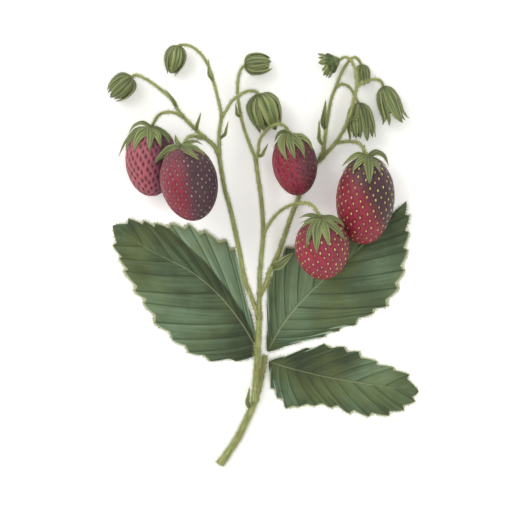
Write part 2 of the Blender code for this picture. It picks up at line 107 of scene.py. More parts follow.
# node: its route in millimetres, and its radius at each end. The routes run on into the stem they grew from.
STALKS = {
    "petiole": ([(-22.0, -104.85, 1.6), (-18.3, -100.0, 1.6), (-12.8, -91.5, 1.6), (-7.8, -81.5, 1.7),
                 (-3.8, -71.5, 1.9), (-1.2, -61.5, 2.4), (0.2, -53.5, 2.9), (0.9, -50.5, 3.0)],
                PETIOLE, PETIOLE * 0.8),
    "main_stalk": ([(-4.5, -73.0, 5.4), (-3.8, -62.5, 7.2), (-3.0, -50.0, 9.0), (-2.5, -40.0, 10.0), FORK,
                    (-2.1, -29.5, 10.9)], MAIN, MAIN),
    "middle_stem": ([FORK, (-2.0, -20.0, 12.0), (-1.8, -10.0, 12.0), (-1.0, 0.0, 12.0), (-0.2, 10.0, 12.0),
                     (-0.5, 21.0, 12.0), (-1.5, 31.0, 12.0), (-3.0, 41.0, 12.0), TOP_MIDDLE], STEM, STEM * 0.85),
    "left_stem": ([FORK, (-3.8, -27.0, 11.0), (-6.8, -19.0, 12.5), (-9.2, -12.5, 13.5), (-11.8, 1.0, 15.5),
                   (-14.2, 12.5, 17.0), (-16.8, 24.0, 18.3), (-19.0, 31.5, 19.0), (-20.8, 41.0, 19.5), TOP_LEFT],
                  STEM, STEM * 0.9),
    "right_stem": ([(-2.0, -20.0, 12.0), (1.2, -14.5, 11.5), (3.2, -8.0, 10.5), (6.8, -1.0, 9.0), (10.2, 8.5, 7.5),
                    (13.8, 19.0, 5.0), (17.8, 29.0, 2.8), (21.2, 37.5, 1.9), (24.8, 44.0, 2.0), TOP_RIGHT],
                   STEM, STEM * 0.9),
    "left_branch": ([TOP_LEFT, (-24.8, 54.5, 19.3), (-28.2, 57.5, 19.0), (-31.8, 60.5, 19.0), (-36.8, 65.5, 19.5),
                     FORK_A], BRANCH * 1.15, BRANCH * 0.9),
    "left_top": ([TOP_LEFT, (-22.0, 54.0, 19.5), (-22.0, 61.0, 19.0), (-21.2, 66.5, 18.5), FORK_B],
                 BRANCH, BRANCH * 0.9),
    "bud_stem_a": ([FORK_A, (-42.8, 72.5, 19.0), (-45.8, 77.5, 17.5), (-53.2, 84.0, 15.0), (-59.8, 88.5, 12.0),
                    (-64.0, 90.0, 9.6), BUDS["a"][0]], PEDICEL, PEDICEL),
    "pedicel_1": ([FORK_A, (-43.8, 70.5, 21.0), (-48.2, 71.0, 20.4), (-52.4, 69.4, 17.4), BERRIES[1][0]],
                  PEDICEL, PEDICEL),
    "pedicel_2": ([(-29.5, 58.6, 19.0), (-31.6, 58.2, 23.5), (-34.4, 58.8, 30.0), (-37.4, 57.8, 35.0),
                   BERRIES[2][0]], PEDICEL, PEDICEL),
    "bud_stem_b": ([FORK_B, (-21.5, 73.0, 17.0), (-23.2, 80.0, 16.0), (-25.2, 87.5, 14.0), (-27.8, 95.0, 12.0),
                    (-31.8, 101.0, 10.8), (-36.8, 104.6, 10.0), (-40.6, 105.2, 9.0), BUDS["b"][0]],
                   PEDICEL, PEDICEL),
    "bud_stem_d": ([FORK_B, (-18.8, 71.5, 18.0), (-16.2, 76.0, 18.0), (-12.8, 79.0, 18.0), (-8.2, 81.5, 17.0),
                    (-4.4, 81.6, 15.0), BUDS["d"][0]], PEDICEL, PEDICEL),
    "bud_stem_c": ([TOP_MIDDLE, (-5.2, 51.0, 12.0), (-7.0, 55.5, 12.0), (-9.2, 61.5, 12.0), (-11.2, 69.0, 12.0),
                    (-12.8, 79.0, 11.5), (-12.8, 87.0, 10.5), (-11.4, 92.5, 9.2), BUDS["c"][0]],
                   BRANCH * 0.85, PEDICEL),
    "pedicel_3": ([TOP_MIDDLE, (-2.6, 52.0, 13.2), (-2.0, 57.0, 15.0), (1.0, 61.5, 18.0), (5.5, 64.8, 20.5),
                   (9.8, 64.6, 20.5), BERRIES[3][0]], PEDICEL, PEDICEL),
    "pedicel_5": ([(-0.2, 10.0, 12.0), (1.6, 13.5, 13.5), (3.8, 17.0, 15.5), (7.8, 21.5, 19.0), (12.8, 24.4, 23.4),
                   (18.2, 25.6, 27.8), (23.8, 24.8, 31.0), BERRIES[5][0]], PEDICEL, PEDICEL),
    "right_branch_f": ([TOP_RIGHT, (30.0, 52.5, 4.0), (30.8, 58.5, 5.0), (31.8, 66.0, 6.0), (33.8, 77.5, 7.0),
                        (36.2, 84.0, 8.0), (39.2, 91.5, 8.6), (42.8, 97.0, 9.2), (46.2, 99.0, 9.0), BUDS["f"][0]],
                       BRANCH, PEDICEL * 0.9),
    "right_branch_e": ([TOP_RIGHT, (32.2, 51.8, 4.2), (36.0, 56.0, 5.5), (40.2, 62.5, 7.5), (43.0, 69.5, 14.2),
                        (44.8, 76.5, 16.4), (46.4, 84.0, 16.0), (46.3, 90.0, 15.5), (44.6, 95.5, 14.0),
                        (41.4, 98.8, 12.0), BUDS["e"][0]], BRANCH, PEDICEL * 0.9),
    "bud_stem_g": ([(36.2, 84.0, 8.0), (39.6, 85.4, 9.5), (43.0, 83.8, 10.4), (45.8, 79.6, 9.6), BUDS["g"][0]],
                   PEDICEL * 0.9, PEDICEL * 0.9),
    "bud_stem_h": ([(46.4, 84.0, 16.0), (49.6, 85.6, 16.0), (54.2, 87.6, 15.0), (58.4, 87.0, 12.6), BUDS["h"][0]],
                   PEDICEL * 0.9, PEDICEL * 0.9),
    "pedicel_4": ([(36.0, 56.0, 5.5), (39.6, 56.6, 8.5), (43.4, 56.6, 13.0), (48.0, 55.2, 19.0), BERRIES[4][0]],
                  PEDICEL, PEDICEL),
}


# A colour mix's sockets: its factor, its two colours and its result.
FACTOR, FIRST, SECOND, RESULT = 0, 6, 7, 2


def linear(hex_colour):
    """An sRGB hex colour as the linear red, green, blue and alpha that a shader takes."""
    parts = [int(hex_colour[k:k + 2], 16) / 255 for k in (1, 3, 5)]
    return tuple(c / 12.92 if c <= 0.04045 else ((c + 0.055) / 1.055) ** 2.4 for c in parts) + (1.0,)


def put(tree, kind, takes=None, stops=None, **settings):
    """Adds a node: its settings, a ramp's stops, and a value or a link for each input that it takes."""
    made = tree.nodes.new(kind)
    for name, value in settings.items():
        setattr(made, name, value)
    for name, value in (takes or {}).items():
        if isinstance(value, bpy.types.NodeSocket):
            tree.links.new(value, made.inputs[name])
        else:
            made.inputs[name].default_value = value
    if stops:
        ramp = made.color_ramp
        while len(ramp.elements) < len(stops):
            ramp.elements.new(1.0)
        for element, (place, colour) in zip(ramp.elements, stops):
            element.position = place
            element.color = linear(colour) if isinstance(colour, str) else (colour,) * 3 + (1.0,)
    return made


def surface(name):
    """A new material with its node tree and its shader."""
    made = bpy.data.materials.new(name)
    made.use_nodes = True
    return made, made.node_tree, made.node_tree.nodes["Principled BSDF"]


def stalk_skin():
    """Living stalk, a thin waxy skin over wet green fibre: long fine ridges, a warm flush, a soft sheen."""
    made, tree, shader = surface("green stalk skin")
    grain = put(tree, "ShaderNodeAttribute", attribute_name="grain")
    streaks = put(tree, "ShaderNodeTexNoise", {"Vector": grain.outputs["Vector"], "Scale": 2.6, "Detail": 4.0})
    flush = put(tree, "ShaderNodeTexNoise", {"Scale": 60.0, "Detail": 2.0,
                "Vector": put(tree, "ShaderNodeTexCoord").outputs["Object"]})
    green = put(tree, "ShaderNodeValToRGB", {"Fac": streaks.outputs["Fac"]},
                stops=[(0.3, "#6f773d"), (0.45, "#909755"), (0.58, "#aab06b"), (0.72, "#c5c78b")])
    warm = put(tree, "ShaderNodeValToRGB", {"Fac": flush.outputs["Fac"]}, stops=[(0.52, 0.0), (0.72, 0.5)])
    skin = put(tree, "ShaderNodeMix", {FACTOR: warm.outputs["Color"], FIRST: green.outputs["Color"],
               SECOND: linear("#83744a")}, data_type="RGBA")
    tree.links.new(skin.outputs[RESULT], shader.inputs["Base Color"])
    ridge = put(tree, "ShaderNodeBump", {"Height": streaks.outputs["Fac"], "Strength": 0.5, "Distance": 0.2 * MM})
    tree.links.new(ridge.outputs["Normal"], shader.inputs["Normal"])
    rough = put(tree, "ShaderNodeMapRange", {"Value": streaks.outputs["Fac"], "To Min": 0.42, "To Max": 0.62})
    tree.links.new(rough.outputs["Result"], shader.inputs["Roughness"])
    shader.inputs["Subsurface Weight"].default_value = 0.12
    shader.inputs["Subsurface Scale"].default_value = 0.8 * MM
    return made


def mm(point):
    return Vector(point) * MM


def curve_through(points, step):
    """A smooth curve through a route's own points, read every step."""
    ends = [2 * points[0] - points[1], *points, 2 * points[-1] - points[-2]]
    read = []
    for before, start, end, after in zip(ends, ends[1:], ends[2:], ends[3:]):
        count = max(1, round((end - start).length / step))
        for k in range(count):
            t = k / count
            read.append(0.5 * (2 * start + (end - before) * t
                               + (2 * before - 5 * start + 4 * end - after) * t ** 2
                               + (3 * start - before - 3 * end + after) * t ** 3))
    return read + [points[-1]]


def flat_sheet(bm, rows, columns):
    """A grid from (0, 0) to (1, 1), which each leaf, sepal and stalk is bent from."""
    sheet = bmesh.ops.create_grid(bm, x_segments=rows, y_segments=columns, size=0.5)["verts"]
    bmesh.ops.translate(bm, verts=sheet, vec=(0.5, 0.5, 0))
    return sheet


def add_piece(name, bm, slot, materials, *nodes):
    """The finished piece: it rides with the sprig, takes the finishes that it is given and stands for its CAD nodes;
    its slot is not used.
    """
    mesh = bpy.data.meshes.new(name)
    bm.to_mesh(mesh)
    bm.free()
    mesh.shade_smooth()
    for material in materials:
        mesh.materials.append(material)
    made = bpy.data.objects.new(name, mesh)
    bpy.context.scene.collection.objects.link(made)
    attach(made, "root")
    if nodes:
        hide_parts(*nodes)
    return made


def stalk(name, points, foot, end):
    """A grid rolled into a tube along its route, swollen a little where it leaves its parent."""
    route = curve_through([mm(point) for point in points], RING_STEP)
    last = len(route) - 1
    normal = (route[1] - route[0]).orthogonal().normalized()
    frames = []
    for k, here in enumerate(route):
        ahead = (route[min(k + 1, last)] - route[max(k - 1, 0)]).normalized()
        normal = (normal - ahead * normal.dot(ahead)).normalized()
        frames.append((here, normal.copy(), ahead.cross(normal)))
    bm = bmesh.new()
    flat_sheet(bm, last, SIDES)
    grain = bm.verts.layers.float_vector.new("grain")
    for vert in bm.verts:
        k = round(vert.co.x * last)
        turn = vert.co.y * math.tau
        here, out, side = frames[k]
        share = k / last
        swell = 1 + 0.3 * math.exp(-k * RING_STEP / (1.6 * MM))
        ridge = 1 + 0.035 * math.sin(5 * turn) + 0.02 * math.sin(3 * turn + k * 0.05)
        radius = (foot + (end - foot) * share) * swell * ridge
        vert[grain] = (math.cos(turn), math.sin(turn), k * RING_STEP / (9 * MM))
        vert.co = here + (out * math.cos(turn) + side * math.sin(turn)) * radius
    bmesh.ops.remove_doubles(bm, verts=bm.verts, dist=0.001 * MM)
    bmesh.ops.holes_fill(bm, edges=bm.edges, sides=SIDES + 2)
    bmesh.ops.recalc_face_normals(bm, faces=bm.faces)
    for vert in bm.verts:
        vert.co.z = max(vert.co.z, 0.02 * MM)
    return add_piece(f"{name}_stalk", bm, "stem_green", [STALK_SKIN], name)


STALK_SKIN = stalk_skin()
stalks = [stalk(name, *shape) for name, shape in STALKS.items()]

# The cut foot of the leaf's stalk and of the fruiting stalk: a disc of pale wet pith with a hollow
# middle, as left by a knife drawn across it.


def pith():
    """Cut pith, wet and pale, with a fine pattern of cells, darker towards their edges."""
    made, tree, shader = surface("cut pith")
    place = put(tree, "ShaderNodeTexCoord")
    cells = put(tree, "ShaderNodeTexVoronoi", {"Vector": place.outputs["Object"], "Scale": 3500.0})
    pale = put(tree, "ShaderNodeValToRGB", {"Fac": cells.outputs["Distance"]},
               stops=[(0.0, "#d9dcae"), (0.6, "#c3c891"), (1.0, "#a3a86d")])
    tree.links.new(pale.outputs["Color"], shader.inputs["Base Color"])
    wet = put(tree, "ShaderNodeBump", {"Height": cells.outputs["Distance"], "Strength": 0.3, "Distance": 0.1 * MM})
    tree.links.new(wet.outputs["Normal"], shader.inputs["Normal"])
    shader.inputs["Roughness"].default_value = 0.35
    return made


def cut_end(name, start, following, radius):
    """A shallow dished disc set on the stalk's foot."""
    start, following = mm(start), mm(following)
    bm = bmesh.new()
    rings = [(0.0, 0.25), (0.3, 0.28), (0.42, 0.02), (0.85, 0.0), (0.97, 0.06), (1.0, 0.5), (0.0, 0.5)]
    profile = [bm.verts.new((out * radius, 0, rise * MM)) for out, rise in rings]
    lines = [bm.edges.new(pair) for pair in zip(profile, profile[1:])]
    bmesh.ops.spin(bm, geom=profile + lines, cent=(0, 0, 0), axis=(0, 0, 1), angle=math.tau, steps=20,
                   use_merge=True)
    bmesh.ops.remove_doubles(bm, verts=bm.verts, dist=0.001 * MM)
    bmesh.ops.recalc_face_normals(bm, faces=bm.faces)
    turn = (following - start).to_track_quat("Z", "Y").to_matrix().to_4x4()
    bmesh.ops.transform(bm, matrix=Matrix.Translation(start) @ turn, verts=bm.verts)
    for vert in bm.verts:
        vert.co.z = max(vert.co.z, 0.02 * MM)
    return add_piece(name, bm, "stem_green", [PITH])


PITH = pith()
cut_end("petiole_cut", (-22.12, -105.3, 1.6), (-18.3, -100.0, 1.6), PETIOLE * 1.22)
cut_end("main_stalk_cut", (-4.52, -73.2, 5.38), (-3.8, -62.5, 7.2), MAIN * 1.22)

# ======================================================================== the leaf
# Three toothed leaflets. Each is one thin soft blade, pleated like a fan: side veins run from the midrib to
# the points of the teeth, each lies in a furrow, and the blade swells up between them. The upper face is
# dark green, painted pale blue-green where light falls on it and darker where it is in shade, and the margin
# carries a fringe of pale hairs.
# midrib: from base to tip; crest: a long fold that the blade turns over at, with painted light beyond it and
# painted shade before it; then the patches of painted light and painted shade on the blade, as a place, a reach
# and a change of tone.
LEAFLETS = {
    "leaflet_left": dict(
        midrib=[(-2.0, -49.5), (-10.0, -35.5), (-20.0, -22.5), (-30.0, -13.0), (-40.0, -6.2), (-50.0, -1.2),
                (-60.0, 4.2), (-68.0, 10.0), (-75.8, 14.8)],
        upper=[(-7.0, -27.5), (-12.0, -10.0), (-14.5, 4.0), (-19.0, 8.0), (-30.0, 12.5),
               (-38.0, 16.0), (-47.0, 16.3), (-55.0, 16.3), (-60.5, 17.5), (-68.0, 18.5)],
        lower=[(-14.0, -53.5), (-27.0, -53.5), (-38.0, -49.0), (-46.5, -42.5), (-55.5, -34.0),
               (-61.0, -24.0), (-65.5, -18.0), (-70.5, -8.0), (-73.0, -1.5), (-76.0, 5.0)],
        crest=[(-53.5, 18.5), (-40.0, 6.5), (-29.2, -3.5), (-19.0, -16.0), (-10.0, -29.0), (-2.0, -48.0)],
        shades=[(-62.0, -9.8, 5.5, -0.32), (-67.0, -15.0, 7.0, 0.26), (-56.0, -28.0, 12.0, 0.32),
                (-36.0, -38.0, 16.0, 0.22), (-64.0, 12.0, 8.0, -0.12), (-18.0, -44.0, 10.0, -0.1)],
        ground=0.42, rows=176),
    "leaflet_end": dict(
        midrib=[(2.0, -48.5), (9.0, -36.0), (18.0, -24.5), (29.0, -13.5), (41.0, -3.0), (52.0, 7.0),
                (62.0, 17.0), (71.8, 27.0)],
        upper=[(2.0, -37.5), (1.8, -22.5), (1.5, -12.5), (6.0, -1.5), (11.5, 4.5), (20.0, 7.5),
               (31.0, 9.5), (42.0, 10.5), (53.0, 13.0), (63.0, 20.0)],
        lower=[(9.5, -46.5), (18.0, -44.0), (31.0, -41.0), (38.5, -38.0), (47.0, -35.0),
               (56.0, -29.0), (63.0, -25.5), (68.5, -16.5), (71.5, -7.5), (73.0, 2.5),
               (73.5, 11.5), (73.5, 20.0)],
        crest=None,
        shades=[(8.0, -12.0, 14.0, 0.36), (14.0, -30.0, 10.0, 0.22), (22.0, -6.0, 8.0, 0.2), (5.0, -22.0, 3.0, -0.2),
                (40.0, -24.0, 12.0, 0.04), (60.0, -10.0, 10.0, 0.26), (66.0, 14.0, 9.0, -0.14)],
        ground=0.44, rows=143),
    "leaflet_right": dict(
        midrib=[(3.0, -53.5), (14.0, -57.0), (28.0, -60.5), (44.0, -63.5), (60.0, -66.0), (78.0, -68.5)],
        upper=[(10.5, -51.0), (22.0, -46.5), (31.0, -44.5), (41.0, -46.0), (48.5, -48.5),
               (57.5, -53.5), (66.0, -56.5), (73.5, -60.0)],
        lower=[(3.8, -60.0), (3.8, -67.0), (7.0, -72.0), (11.5, -77.5), (18.5, -76.5),
               (26.5, -76.0), (34.5, -77.0), (43.5, -80.0), (53.5, -81.5), (63.5, -81.0),
               (71.0, -78.0), (76.5, -73.5)],
        crest=None,
        shades=[(20.0, -56.0, 12.0, -0.26), (36.0, -52.0, 8.0, -0.2), (56.0, -60.0, 9.0, 0.34),
                (10.0, -70.0, 9.0, 0.24), (44.0, -74.0, 12.0, 0.14), (70.0, -70.0, 8.0, 0.1)],
        ground=0.38, rows=117),
}
TOOTH_DEPTH = 2.4 * MM
NOTCH = 0.2                     # the share of a tooth's run that cuts back behind the last point
VEIN_SLANT = 2.2                # how much nearer the base a side vein starts than its tooth lies
HALF_BLADE = 18
BLADE = 0.3 * MM
CROWN = 2.1 * MM
PLEAT = 0.8 * MM
RIPPLE = 0.5 * MM
CREST = 1.3 * MM
VEIN_BOW = 1.6 * MM


def leaf_face():
    """The leaf's upper face, waxy over soft green: dark veins painted as shade in their furrows, streaked panels each
    painted lit on one side and shaded on the other, and pale blue-green painted light.
    """
    made, tree, shader = surface("strawberry leaf, upper face")
    object_place = put(tree, "ShaderNodeTexCoord").outputs["Object"]
    vein = put(tree, "ShaderNodeSeparateXYZ", {"Vector": put(tree, "ShaderNodeAttribute",
               attribute_name="vein").outputs["Vector"]})
    # The tone carries the blade's painted light and painted shade, and picks its green below.
    tone = put(tree, "ShaderNodeAttribute", attribute_name="tone").outputs["Fac"]
    across = put(tree, "ShaderNodeMath", {0: vein.outputs["X"]}, operation="ABSOLUTE")
    streak_space = put(tree, "ShaderNodeCombineXYZ", {"X": vein.outputs["Y"], "Y": vein.outputs["X"]})
    stretched = put(tree, "ShaderNodeMapping", {"Vector": streak_space.outputs["Vector"], "Scale": (4.2, 1.3, 1.0)})
    streaks = put(tree, "ShaderNodeTexNoise", {"Vector": stretched.outputs["Vector"], "Scale": 1.0, "Detail": 6.0,
                  "Roughness": 0.62})
    blotch = put(tree, "ShaderNodeTexNoise", {"Vector": object_place, "Scale": 60.0, "Detail": 4.0,
                 "Roughness": 0.6})
    panel = put(tree, "ShaderNodeMath", {0: vein.outputs["Y"]}, operation="FRACT")
    # Painted light and shade across each panel between two side veins: shaded on one side, lit on the other.
    swell = put(tree, "ShaderNodeValToRGB", {"Fac": panel.outputs["Value"]},
                stops=[(0.0, 0.3), (0.1, 0.2), (0.45, 0.62), (0.85, 0.86), (1.0, 0.5)])
    first = put(tree, "ShaderNodeMath", {0: streaks.outputs["Fac"], 1: 0.8, 2: tone}, operation="MULTIPLY_ADD")
    second = put(tree, "ShaderNodeMath", {0: swell.outputs["Color"], 1: 0.22, 2: first.outputs["Value"]},
                 operation="MULTIPLY_ADD")
    third = put(tree, "ShaderNodeMath", {0: blotch.outputs["Fac"], 1: 0.6, 2: second.outputs["Value"]},
                operation="MULTIPLY_ADD")
    centred = put(tree, "ShaderNodeMath", {0: third.outputs["Value"], 1: 0.86}, operation="SUBTRACT")
    green = put(tree, "ShaderNodeValToRGB", {"Fac": centred.outputs["Value"]},
                stops=[(0.0, "#303a26"), (0.24, "#404c32"), (0.46, "#516348"), (0.7, "#667c60"), (1.0, "#869a7e")])
    ageing = put(tree, "ShaderNodeTexNoise", {"Vector": object_place, "Scale": 38.0, "Detail": 2.0})
    aged = put(tree, "ShaderNodeMapRange", {"Value": ageing.outputs["Fac"], "From Min": 0.44, "From Max": 0.66,
               "To Max": 0.45})
    olive = put(tree, "ShaderNodeMix", {FACTOR: aged.outputs["Result"], FIRST: green.outputs["Color"],
                SECOND: linear("#66703f")}, data_type="RGBA")
    # Painted shade: a dark line in the furrow along each side vein.
    furrow = put(tree, "ShaderNodeValToRGB", {"Fac": panel.outputs["Value"]},
                 stops=[(0.0, 0.75), (0.02, 0.6), (0.07, 0.0), (0.965, 0.0), (1.0, 0.75)])
    veined = put(tree, "ShaderNodeMix", {FACTOR: furrow.outputs["Color"], FIRST: olive.outputs[RESULT],
                 SECOND: linear("#2c3a25")}, data_type="RGBA")
    rib = put(tree, "ShaderNodeValToRGB", {"Fac": across.outputs["Value"]},
              stops=[(0.0, 0.3), (0.008, 0.25), (0.02, 0.0), (0.97, 0.0), (0.986, 0.8)])
    face = put(tree, "ShaderNodeMix", {FACTOR: rib.outputs["Color"], FIRST: veined.outputs[RESULT],
               SECOND: linear("#c3c79c")}, data_type="RGBA")
    tree.links.new(face.outputs[RESULT], shader.inputs["Base Color"])
    skin = put(tree, "ShaderNodeTexVoronoi", {"Vector": object_place, "Scale": 1600.0})
    fine = put(tree, "ShaderNodeBump", {"Height": skin.outputs["Distance"], "Strength": 0.2, "Distance": 0.1 * MM})
    folded = put(tree, "ShaderNodeBump", {"Height": streaks.outputs["Fac"], "Strength": 0.5,
                 "Distance": 0.6 * MM, "Normal": fine.outputs["Normal"]})
    tree.links.new(folded.outputs["Normal"], shader.inputs["Normal"])
    rough = put(tree, "ShaderNodeMapRange", {"Value": blotch.outputs["Fac"], "To Min": 0.55, "To Max": 0.75})
    tree.links.new(rough.outputs["Result"], shader.inputs["Roughness"])
    shader.inputs["Specular IOR Level"].default_value = 0.3
    return made


def leaf_underside():
    """The leaf's lower face: paler, felted with fine hairs, with the veins standing proud."""
    made, tree, shader = surface("strawberry leaf, underside")
    vein = put(tree, "ShaderNodeSeparateXYZ", {"Vector": put(tree, "ShaderNodeAttribute",
               attribute_name="vein").outputs["Vector"]})
    felt = put(tree, "ShaderNodeTexNoise", {"Scale": 900.0, "Detail": 3.0,
               "Vector": put(tree, "ShaderNodeTexCoord").outputs["Object"]})
    panel = put(tree, "ShaderNodeMath", {0: vein.outputs["Y"]}, operation="FRACT")
    ribs = put(tree, "ShaderNodeValToRGB", {"Fac": panel.outputs["Value"]},
               stops=[(0.0, "#c4cfa6"), (0.05, "#8ba285"), (0.5, "#94ab8f"), (0.95, "#8ba285"), (1.0, "#c4cfa6")])
    pale = put(tree, "ShaderNodeValToRGB", {"Fac": felt.outputs["Fac"]}, stops=[(0.3, 0.8), (0.7, 1.1)])
    felted = put(tree, "ShaderNodeMix", {FACTOR: 1.0, FIRST: ribs.outputs["Color"], SECOND: pale.outputs["Color"]},
                 data_type="RGBA", blend_type="MULTIPLY")
    tree.links.new(felted.outputs[RESULT], shader.inputs["Base Color"])
    bump = put(tree, "ShaderNodeBump", {"Height": ribs.outputs["Color"], "Strength": 0.5, "Distance": 0.4 * MM})
    tree.links.new(bump.outputs["Normal"], shader.inputs["Normal"])
    shader.inputs["Roughness"].default_value = 0.8
    return made


def margin_point(points, share):
    """A point on one side of the leaflet's toothed margin, from its base (0) to its tip (1)."""
    spans = len(points) - 1
    k = min(int(share * spans), spans - 1)
    along = share * spans - k
    tooth, following = points[k], points[k + 1]
    run = following - tooth
    inward = ((points[0] + points[-1]) / 2 - tooth).normalized() * TOOTH_DEPTH
    if k == 0:
        return tooth + run * along - inward * 0.25 * math.sin(math.pi * along)
    notch = tooth + run * 0.25 + inward
    if along < NOTCH:
        return tooth.lerp(notch, along / NOTCH)
    t = (along - NOTCH) / (1 - NOTCH)
    shoulder = notch + run * 0.4 - inward * 0.95
    return notch * (1 - t) ** 2 + shoulder * 2 * t * (1 - t) + following * t ** 2


def even_route(points, rows):
    """A smooth curve through the points, read at evenly spaced places."""
    fine = curve_through(points, 0.25 * MM)
    return [fine[round(k * (len(fine) - 1) / rows)] for k in range(rows + 1)]


def beyond(line, spot):
    """How far a place lies from a line: more than nothing on its left hand, less on its right."""
    nearest = None
    for start, end in zip(line, line[1:]):
        run = end - start
        t = max(0.0, min(1.0, (spot - start).dot(run) / run.length_squared))
        gap = spot - (start + run * t)
        if nearest is None or gap.length < abs(nearest):
            nearest = math.copysign(gap.length, run.cross(gap).z)
    return nearest


def leaflet(name, midrib, upper, lower, crest, shades, ground, rows):
    """A flat sheet bent to the toothed outline, its rows along the veins, then pleated and thickened."""
    rib_line = even_route([mm((*p, 0)) for p in midrib], 600)
    base, tip = rib_line[0], rib_line[-1]
    sides = {1: [base, *(mm((*p, 0)) for p in upper), tip], -1: [base, *(mm((*p, 0)) for p in lower), tip]}
    along = (tip - base).normalized()
    fold = [mm((*p, 0)) for p in crest or ()]
    bm = bmesh.new()
    flat_sheet(bm, rows, 2 * HALF_BLADE)
    vein = bm.verts.layers.float_vector.new("vein")
    tone = bm.verts.layers.float.new("tone")
    for vert in bm.verts:
        share, aside = vert.co.x, vert.co.y * 2 - 1
        side = 1 if aside > 0 else -1
        out = abs(aside)
        root = share ** VEIN_SLANT
        spot = rib_line[round(root * 600)].lerp(margin_point(sides[side], share), out)
        spot = spot - along * (VEIN_BOW * math.sin(math.pi * out) * math.sin(math.pi * share))
        phase = share * (len(sides[side]) - 1)
        within = phase % 1.0
        puff = math.sin(math.pi * within) ** 0.7 if within > 0 else 0.0
        spread = min(1.0, out * 5) * (1 - 0.35 * out) * min(1.0, (1 - share) * 8, share * 8)
        roll = math.sin(phase * 1.3 + 2.0 * side) * RIPPLE * out
        channel = -0.4 * MM * math.exp(-(out / 0.03) ** 2)
        height = 0.12 * MM + CROWN * (1 - out ** 1.4) * (1 - root) ** 0.35 + PLEAT * puff * spread
        height += max(0.0, roll) + channel * (1 - root)
        # The tone carries painted light and painted shade: the light and shade patches, and the crest's painted light
        # and shade below.
        colour = ground + sum(change * math.exp(-((spot - mm((x, y, 0))).length / (reach * MM)) ** 2)
                              for x, y, reach, change in shades)
        if fold:
            past = beyond(fold, spot)
            height += CREST * math.exp(-(past / (4 * MM)) ** 2) * min(1.0, (1 - out) * 3, share * 4)
            # Painted light on the part turned over past the crest, painted shade just before it.
            painted_lit_share = max(0.0, min(1.0, 0.5 + past / (0.8 * MM)))
            colour = (1 - painted_lit_share) * (colour - 0.34 * math.exp(past / (6 * MM))) + painted_lit_share * (0.92 - 0.2 * (out > 0.97))
        vert.co = Vector((spot.x, spot.y, height))
        vert[vein] = (aside, phase, share)
        vert[tone] = colour
    bmesh.ops.remove_doubles(bm, verts=bm.verts, dist=0.004 * MM)
    sheet = bm.faces[:]
    grown = bmesh.ops.extrude_face_region(bm, geom=sheet, use_keep_orig=True)["geom"]
    lowered = [item for item in grown if isinstance(item, bmesh.types.BMVert)]
    bmesh.ops.translate(bm, verts=lowered, vec=(0, 0, -BLADE))
    bmesh.ops.recalc_face_normals(bm, faces=bm.faces)
    for vert in bm.verts:
        vert.co.z = max(vert.co.z, 0.02 * MM)
    bm.normal_update()
    for face in bm.faces:
        face.material_index = 1 if face.normal.z < -0.05 else 0
    return add_piece(f"{name}_blade", bm, "leaf_green", [LEAF_FACE, LEAF_UNDERSIDE], name)


LEAF_FACE, LEAF_UNDERSIDE = leaf_face(), leaf_underside()
leaflets = [leaflet(name, **shape) for name, shape in LEAFLETS.items()]

# ======================================================================== the berries
# Each berry is a swollen, juicy receptacle, soft and faintly glossy, with the true fruits, small hard seeds,
# set in pits on a spiral round it. Each skin is its own crimson with painted light on its left, a dusty rose on
# the pair on the left, and painted shade, dark maroon, on its right and, as it leans, towards its top.
BERRY_TAPER = 0.06
BERRY_ROWS, BERRY_SIDES = 72, 144
PIT_DEPTH = 0.5 * MM
SEED_LENGTH, SEED_WIDTH = 0.78 * MM, 0.46 * MM
GOLDEN_TURN = math.pi * (3 - math.sqrt(5))

# berry: the skin's colours from its left side to its right, its own crimson with painted light on the left and
# painted shade on the right; how much that painted light and shade leans up the berry; the painted shade in its
# pits; the seeds' two colours, the seeds' spacing and the pits' width and length (mm)
SKINS = {
    1: dict(stops=[(0.0, "#985058"), (0.3, "#9f535c"), (0.5, "#984c5a"), (0.6, "#7d4456"), (0.7, "#562a3a"),
                   (1.0, "#4a2432")],
            lean=0.04, pit_shade="#54202c", seeds=("#431a24", "#5c2a32"), spacing=3.3, pit=(0.62, 1.35)),
    2: dict(stops=[(0.0, "#74303c"), (0.1, "#7d2437"), (0.36, "#7b1f34"), (0.48, "#5b2834"), (0.58, "#402a33"),
                   (1.0, "#37252d")],
            lean=0.16, pit_shade="#431722", seeds=("#75544f", "#a08a78"), spacing=3.5, pit=(0.6, 1.1)),
    3: dict(stops=[(0.0, "#96404f"), (0.12, "#872539"), (0.5, "#7b2135"), (0.66, "#5a2531"), (1.0, "#46232b")],
            lean=0.25, pit_shade="#4b1825", seeds=("#4f1d28", "#8f5f44"), spacing=3.5, pit=(0.5, 1.4)),
    4: dict(stops=[(0.0, "#882639"), (0.42, "#7a2033"), (0.56, "#5a202b"), (0.66, "#3b2329"), (1.0, "#342127")],
            lean=0.55, pit_shade="#471620", seeds=("#cdbb70", "#bd9c4a"), spacing=4.0, pit=(0.7, 1.0)),
    5: dict(stops=[(0.0, "#8c293d"), (0.45, "#872539"), (0.8, "#782134"), (1.0, "#5f1e2c")],
            lean=0.1, pit_shade="#481922", seeds=("#d2c27c", "#a48540"), spacing=3.8, pit=(0.7, 1.15)),
}


